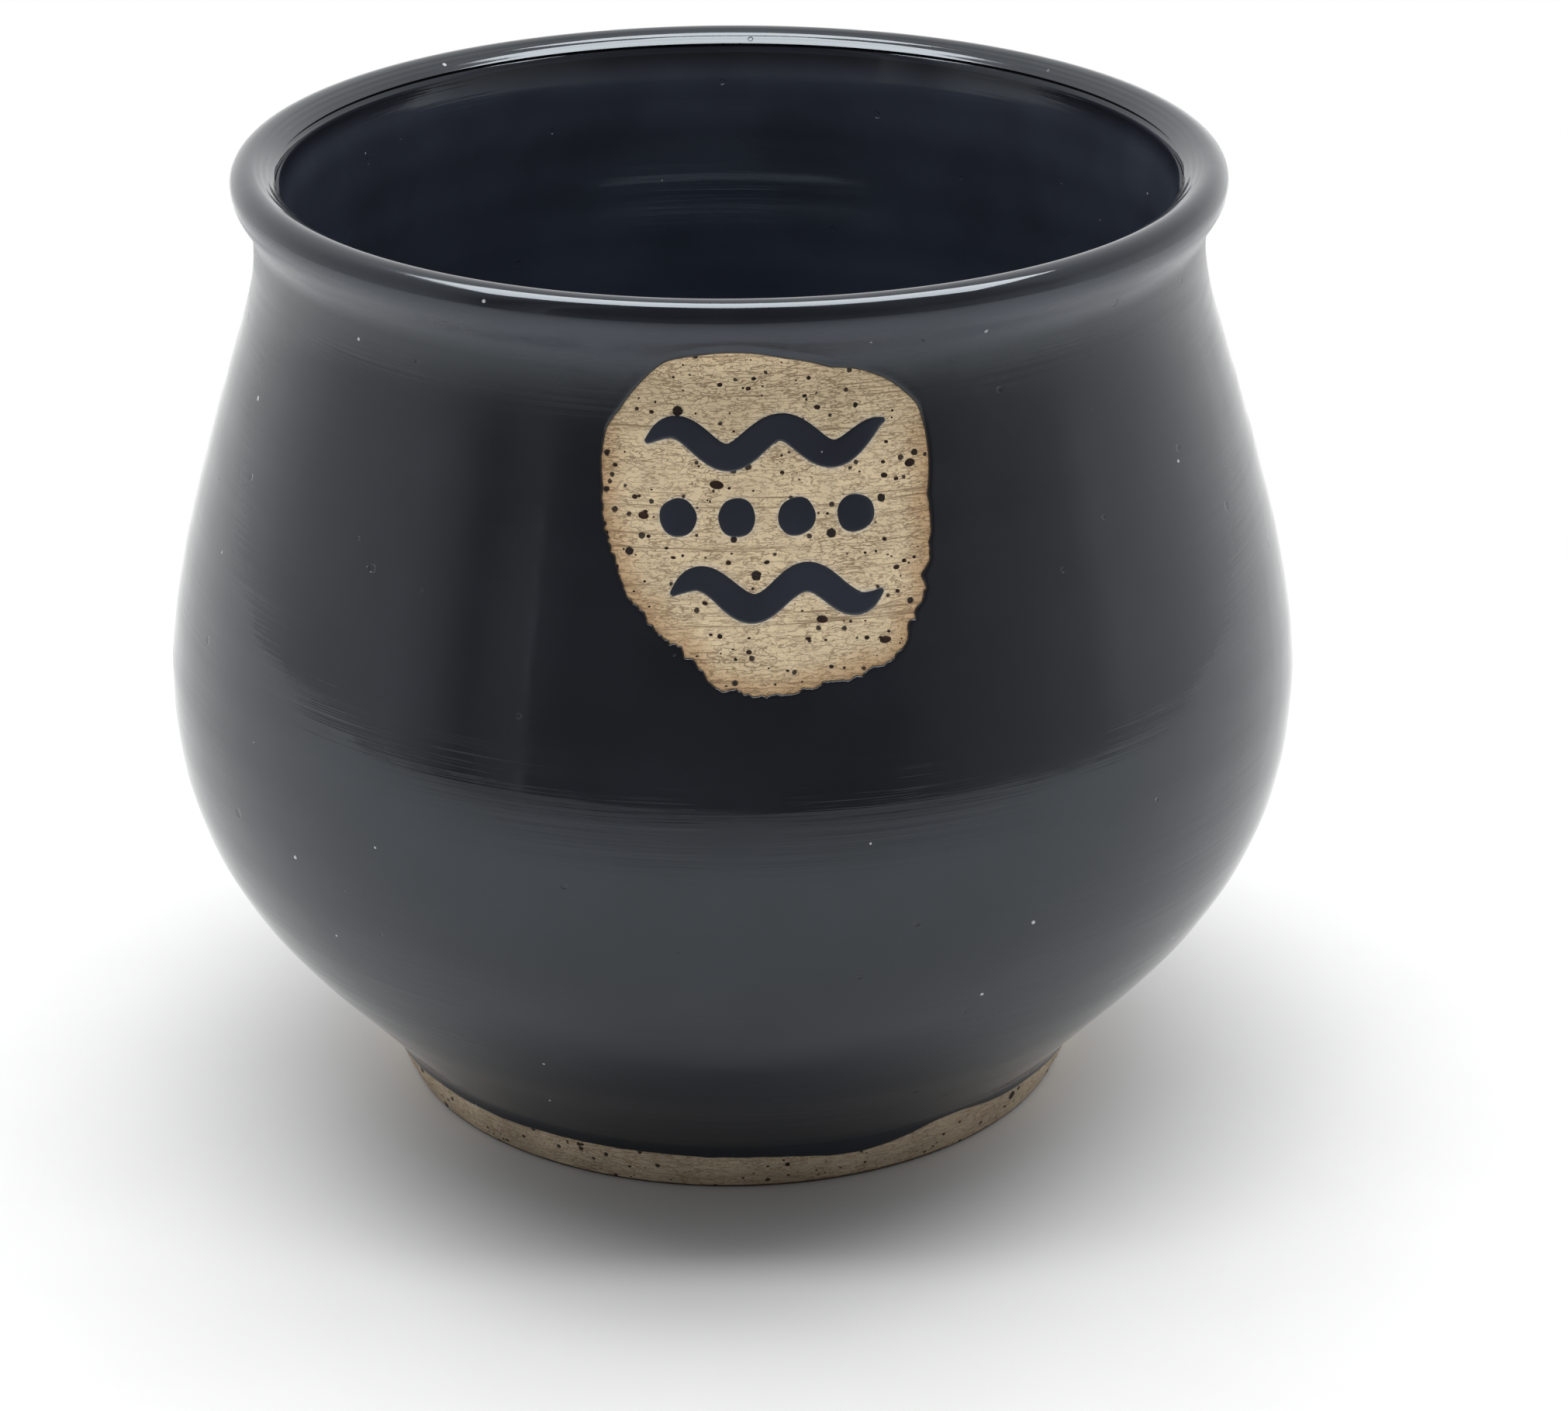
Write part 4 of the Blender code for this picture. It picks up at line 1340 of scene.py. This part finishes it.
# Level of the room by angle round the bowl, in degrees from the camera's side towards +X: first as the glaze
# mirrors it, then as it lights the table and the bowl
ROOM = [
    (-180, 1.10, 1.90),
    (-125, 0.98, 1.90),
    (-100, 0.70, 0.75),
    (-72, 0.58, 0.66),
    (-66, 0.46, 0.62),
    (-62, 0.36, 0.60),
    (-58, 0.22, 0.57),
    (-54.5, 0.13, 0.54),
    (-47.5, 0.24, 0.44),
    (-43.5, 0.27, 0.38),
    (-42.5, 0.42, 0.36),
    (-41, 0.14, 0.33),
    (-37, 0.10, 0.25),
    (-33, 0.07, 0.20),
    (30, 0.07, 0.18),
    (42, 0.20, 0.30),
    (62, 0.26, 0.36),
    (76, 0.38, 0.42),
    (84, 0.64, 0.50),
    (125, 0.90, 1.90),
    (165, 1.10, 1.90),
    (180, 1.10, 1.90),
]
# How much lighter the mirrored room is near the table, on the left and on the right, and where that lies
LOW_HAZE = (0.07, 0.20)
LOW_HAZE_RISE = (0.08, 0.38)
LOW_HAZE_TURN = (0.60, 0.68)
GLARE_DROP = 0.01


def table_material():
    """Pale matt table top that keeps the bowl's shadow and is plain white to the camera further out, with
    painted shade towards the front and a painted contact shadow in front of the foot.
    """
    made, tree, shader, place = new_material("pale_table_top")
    base = tree.mix(tree.ramp(tree.noise(place, scale=30.0, detail=3.0), 0.3, 0.7), *TABLE_TONES)
    # Painted shade: the table's colour turns grey towards its front.
    painted_shade = tree.ramp(tree.add("SeparateXYZ", {0: place}).outputs[1], *TABLE_PAINTED_SHADE, start=1.0, end=0.0)
    base = tree.mix(painted_shade, base, PAINTED_SHADE_GREY)
    beside = tree.vector_math("ADD", place, CONTACT_PLACE)
    beside = tree.add("VectorMath", {0: beside}, operation="LENGTH").outputs["Value"]
    # Painted contact shadow: the table's colour darkens in front of the foot.
    base = tree.mix(tree.ramp(beside, *CONTACT, CONTACT_DARK, 0.0), base, BLACK)
    tree.fill(shader, {"Base Color": base, "Roughness": 0.9, "Specular IOR Level": 0.0})
    away = tree.add("VectorMath", {0: place}, operation="LENGTH").outputs["Value"]
    seen = tree.add("LightPath").outputs["Is Camera Ray"]
    plain = tree.math("MULTIPLY", tree.ramp(away, *SHADOW_REACH), seen)
    white = tree.add("Emission", {"Color": WHITE, "Strength": 1.0}).outputs[0]
    both = tree.add("MixShader", {0: plain, 1: shader.outputs[0], 2: white})
    tree.fill(tree.tree.nodes["Material Output"], {"Surface": both.outputs[0]})
    return made


def room_world(level):
    """White to the camera. To all else a room that is dark behind the camera, and bright behind the bowl."""
    world = bpy.data.worlds.new("quiet_room")
    world.use_nodes = True
    tree = Tree(world.node_tree)
    direction = tree.add("SeparateXYZ", {0: tree.add("TexCoord").outputs["Generated"]}).outputs
    turn = tree.math("ARCTAN2", direction[0], tree.math("MULTIPLY", direction[1], -1.0))
    place = tree.math("ADD", tree.math("DIVIDE", turn, 2 * math.pi), 0.5)
    views = []
    for column in (1, 2):
        ramp = tree.add("ValToRGB", {"Fac": place})
        stops = ramp.color_ramp.elements
        for row in ROOM[1:-1]:
            stops.new((row[0] + 180) / 360)
        for stop, row in zip(stops, ROOM):
            stop.color = rgba([row[column]] * 3, level)
        views.append(ramp.outputs[0])
    low = tree.ramp(direction[2], *LOW_HAZE_RISE, start=1.0, end=0.0)
    haze = tree.math("MULTIPLY", low, tree.ramp(place, *LOW_HAZE_TURN, *LOW_HAZE))
    views[0] = tree.mix(1.0, views[0], haze, "ADD")
    rays = tree.add("LightPath").outputs
    around = tree.mix(rays["Is Glossy Ray"], views[1], views[0])
    shown = tree.mix(rays["Is Camera Ray"], around, WHITE)
    tree.fill(tree.tree.nodes["Background"], {"Color": shown})
    return world


def make_table(studio):
    shape = bmesh.new()
    wide = studio.table_right - studio.table_left
    deep = studio.table_back - studio.table_front
    across = (studio.table_right + studio.table_left) / 2
    back = (studio.table_back + studio.table_front) / 2
    place = Matrix.Translation((across, back, 0)) @ Matrix.Diagonal((wide / 2, deep / 2, 1, 1))
    bmesh.ops.create_grid(shape, x_segments=8, y_segments=16, size=1, matrix=place)
    mesh = bpy.data.meshes.new("table_top")
    shape.to_mesh(mesh)
    shape.free()
    mesh.materials.append(table_material())
    table = bpy.data.objects.new("table_top", mesh)
    bpy.context.scene.collection.objects.link(table)


def make_lamp(name, studio, depth, back, power):
    """A long soft box over the bowl."""
    lamp = bpy.data.lights.new(name, "AREA")
    lamp.shape = "RECTANGLE"
    lamp.size = studio.lamp_length
    lamp.size_y = depth
    lamp.energy = power
    hung = bpy.data.objects.new(name, lamp)
    hung.location = (0, back, studio.lamp_height)
    bpy.context.scene.collection.objects.link(hung)
    return hung


def make_lamps(studio):
    """The core lights the bowl and the table. The glaze mirrors the whole box."""
    core = make_lamp("overhead_core", studio, studio.lamp_depth, studio.lamp_back, studio.lamp_power)
    core.visible_glossy = False
    glare = make_lamp("overhead_glare", studio, studio.glare_depth, studio.glare_back, studio.glare_power)
    glare.visible_diffuse = False
    glare.location.z -= GLARE_DROP


def make_camera(studio):
    camera = bpy.data.cameras.new("camera")
    camera.sensor_width = 36
    camera.lens = studio.camera_lens
    placed = bpy.data.objects.new("camera", camera)
    placed.matrix_world = (
        Matrix.Translation((0, -studio.camera_distance, studio.camera_height))
        @ Matrix.Rotation(-studio.camera_yaw, 4, "Z")
        @ Matrix.Rotation(math.pi / 2 - studio.camera_pitch, 4, "X")
        @ Matrix.Rotation(studio.camera_roll, 4, "Z")
    )
    bpy.context.scene.collection.objects.link(placed)
    bpy.context.scene.camera = placed


# Operators


def parts_of(scene):
    """The outline, the window and the marks that the scene's sizes give."""
    outline = Outline(scene.bowl_clay)
    window = Window(outline, scene.bowl_window)
    return outline, window, marks_of(window, scene.bowl_marks)


class BOWL_OT_clay(bpy.types.Operator):
    """Thrown and trimmed clay, bare in the window and at the foot"""

    bl_idname = "bowl.clay"
    bl_label = "Clay body"

    def execute(self, context):
        scene = context.scene
        outline, window, marks = parts_of(scene)
        shape = clay_mesh(outline, scene.bowl_glaze, window, marks)
        material = once(bpy.data.materials, "speckled_stoneware_bare", clay_material, scene.bowl_colours)
        finished("clay_body", shape, outline, material, "speckled_stoneware", "stoneware_body")
        return {"FINISHED"}


class BOWL_OT_glaze(bpy.types.Operator):
    """Glaze over the whole pot but its foot and its window"""

    bl_idname = "bowl.glaze"
    bl_label = "Glaze coat"

    def execute(self, context):
        scene = context.scene
        outline, window, _ = parts_of(scene)
        shape = glaze_mesh(outline, scene.bowl_glaze, window)
        material = once(bpy.data.materials, "dark_glaze_gloss", glaze_material, scene.bowl_colours)
        finished("glaze_skin", shape, outline, material, "dark_glaze", "glaze_coat")
        return {"FINISHED"}


class BOWL_OT_marks(bpy.types.Operator):
    """Brushed waves and dots of glaze in the window"""

    bl_idname = "bowl.marks"
    bl_label = "Brushed marks"

    def execute(self, context):
        scene = context.scene
        outline, _, marks = parts_of(scene)
        material = once(bpy.data.materials, "dark_glaze_gloss", glaze_material, scene.bowl_colours)
        for mark in marks:
            shape = mark_mesh(outline, scene.bowl_glaze, mark)
            finished(mark.name, shape, outline, material, "dark_glaze", mark.node)
        return {"FINISHED"}


class BOWL_OT_spots(bpy.types.Operator):
    """Blisters of melted iron on the bare clay"""

    bl_idname = "bowl.spots"
    bl_label = "Iron spots"

    def execute(self, context):
        scene = context.scene
        outline, window, marks = parts_of(scene)
        shape = spot_mesh(outline, scene.bowl_glaze, window, marks)
        material = once(bpy.data.materials, "melted_iron", iron_material, scene.bowl_colours)
        finished("iron_spots", shape, outline, material, "speckled_stoneware")
        return {"FINISHED"}


class BOWL_OT_studio(bpy.types.Operator):
    """Table top, soft box, room light and camera"""

    bl_idname = "bowl.studio"
    bl_label = "Studio"

    def execute(self, context):
        scene = context.scene
        make_table(scene.bowl_studio)
        make_lamps(scene.bowl_studio)
        make_camera(scene.bowl_studio)
        scene.world = room_world(scene.bowl_studio.room_light)
        scene.view_settings.view_transform = "Standard"
        return {"FINISHED"}


class BOWL_PT_sidebar(bpy.types.Panel):
    """Sizes, colours and pieces of the bowl"""

    bl_idname = "BOWL_PT_sidebar"
    bl_label = "Stoneware bowl"
    bl_space_type = "VIEW_3D"
    bl_region_type = "UI"
    bl_category = "Bowl"

    def draw(self, context):
        for operator in OPERATORS:
            self.layout.operator(operator.bl_idname)
        for name in SETTINGS:
            settings = getattr(context.scene, name)
            box = self.layout.box()
            for prop in settings.bl_rna.properties:
                if prop.identifier not in ("name", "rna_type"):
                    box.prop(settings, prop.identifier)


OPERATORS = (BOWL_OT_studio, BOWL_OT_clay, BOWL_OT_glaze, BOWL_OT_marks, BOWL_OT_spots)
SETTINGS = {
    "bowl_clay": ClaySizes,
    "bowl_glaze": GlazeSizes,
    "bowl_window": WindowSizes,
    "bowl_marks": MarkSizes,
    "bowl_colours": BowlColours,
    "bowl_studio": StudioSettings,
}


def register():
    for made in (*SETTINGS.values(), *OPERATORS, BOWL_PT_sidebar):
        bpy.utils.register_class(made)
    for name, group in SETTINGS.items():
        setattr(bpy.types.Scene, name, PointerProperty(type=group))


def unregister():
    for name in SETTINGS:
        delattr(bpy.types.Scene, name)
    for made in (BOWL_PT_sidebar, *reversed(OPERATORS), *reversed(list(SETTINGS.values()))):
        bpy.utils.unregister_class(made)


def main():
    register()
    bpy.ops.bowl.studio()
    bpy.ops.bowl.clay()
    bpy.ops.bowl.glaze()
    bpy.ops.bowl.marks()
    bpy.ops.bowl.spots()


if __name__ == "__main__":
    main()
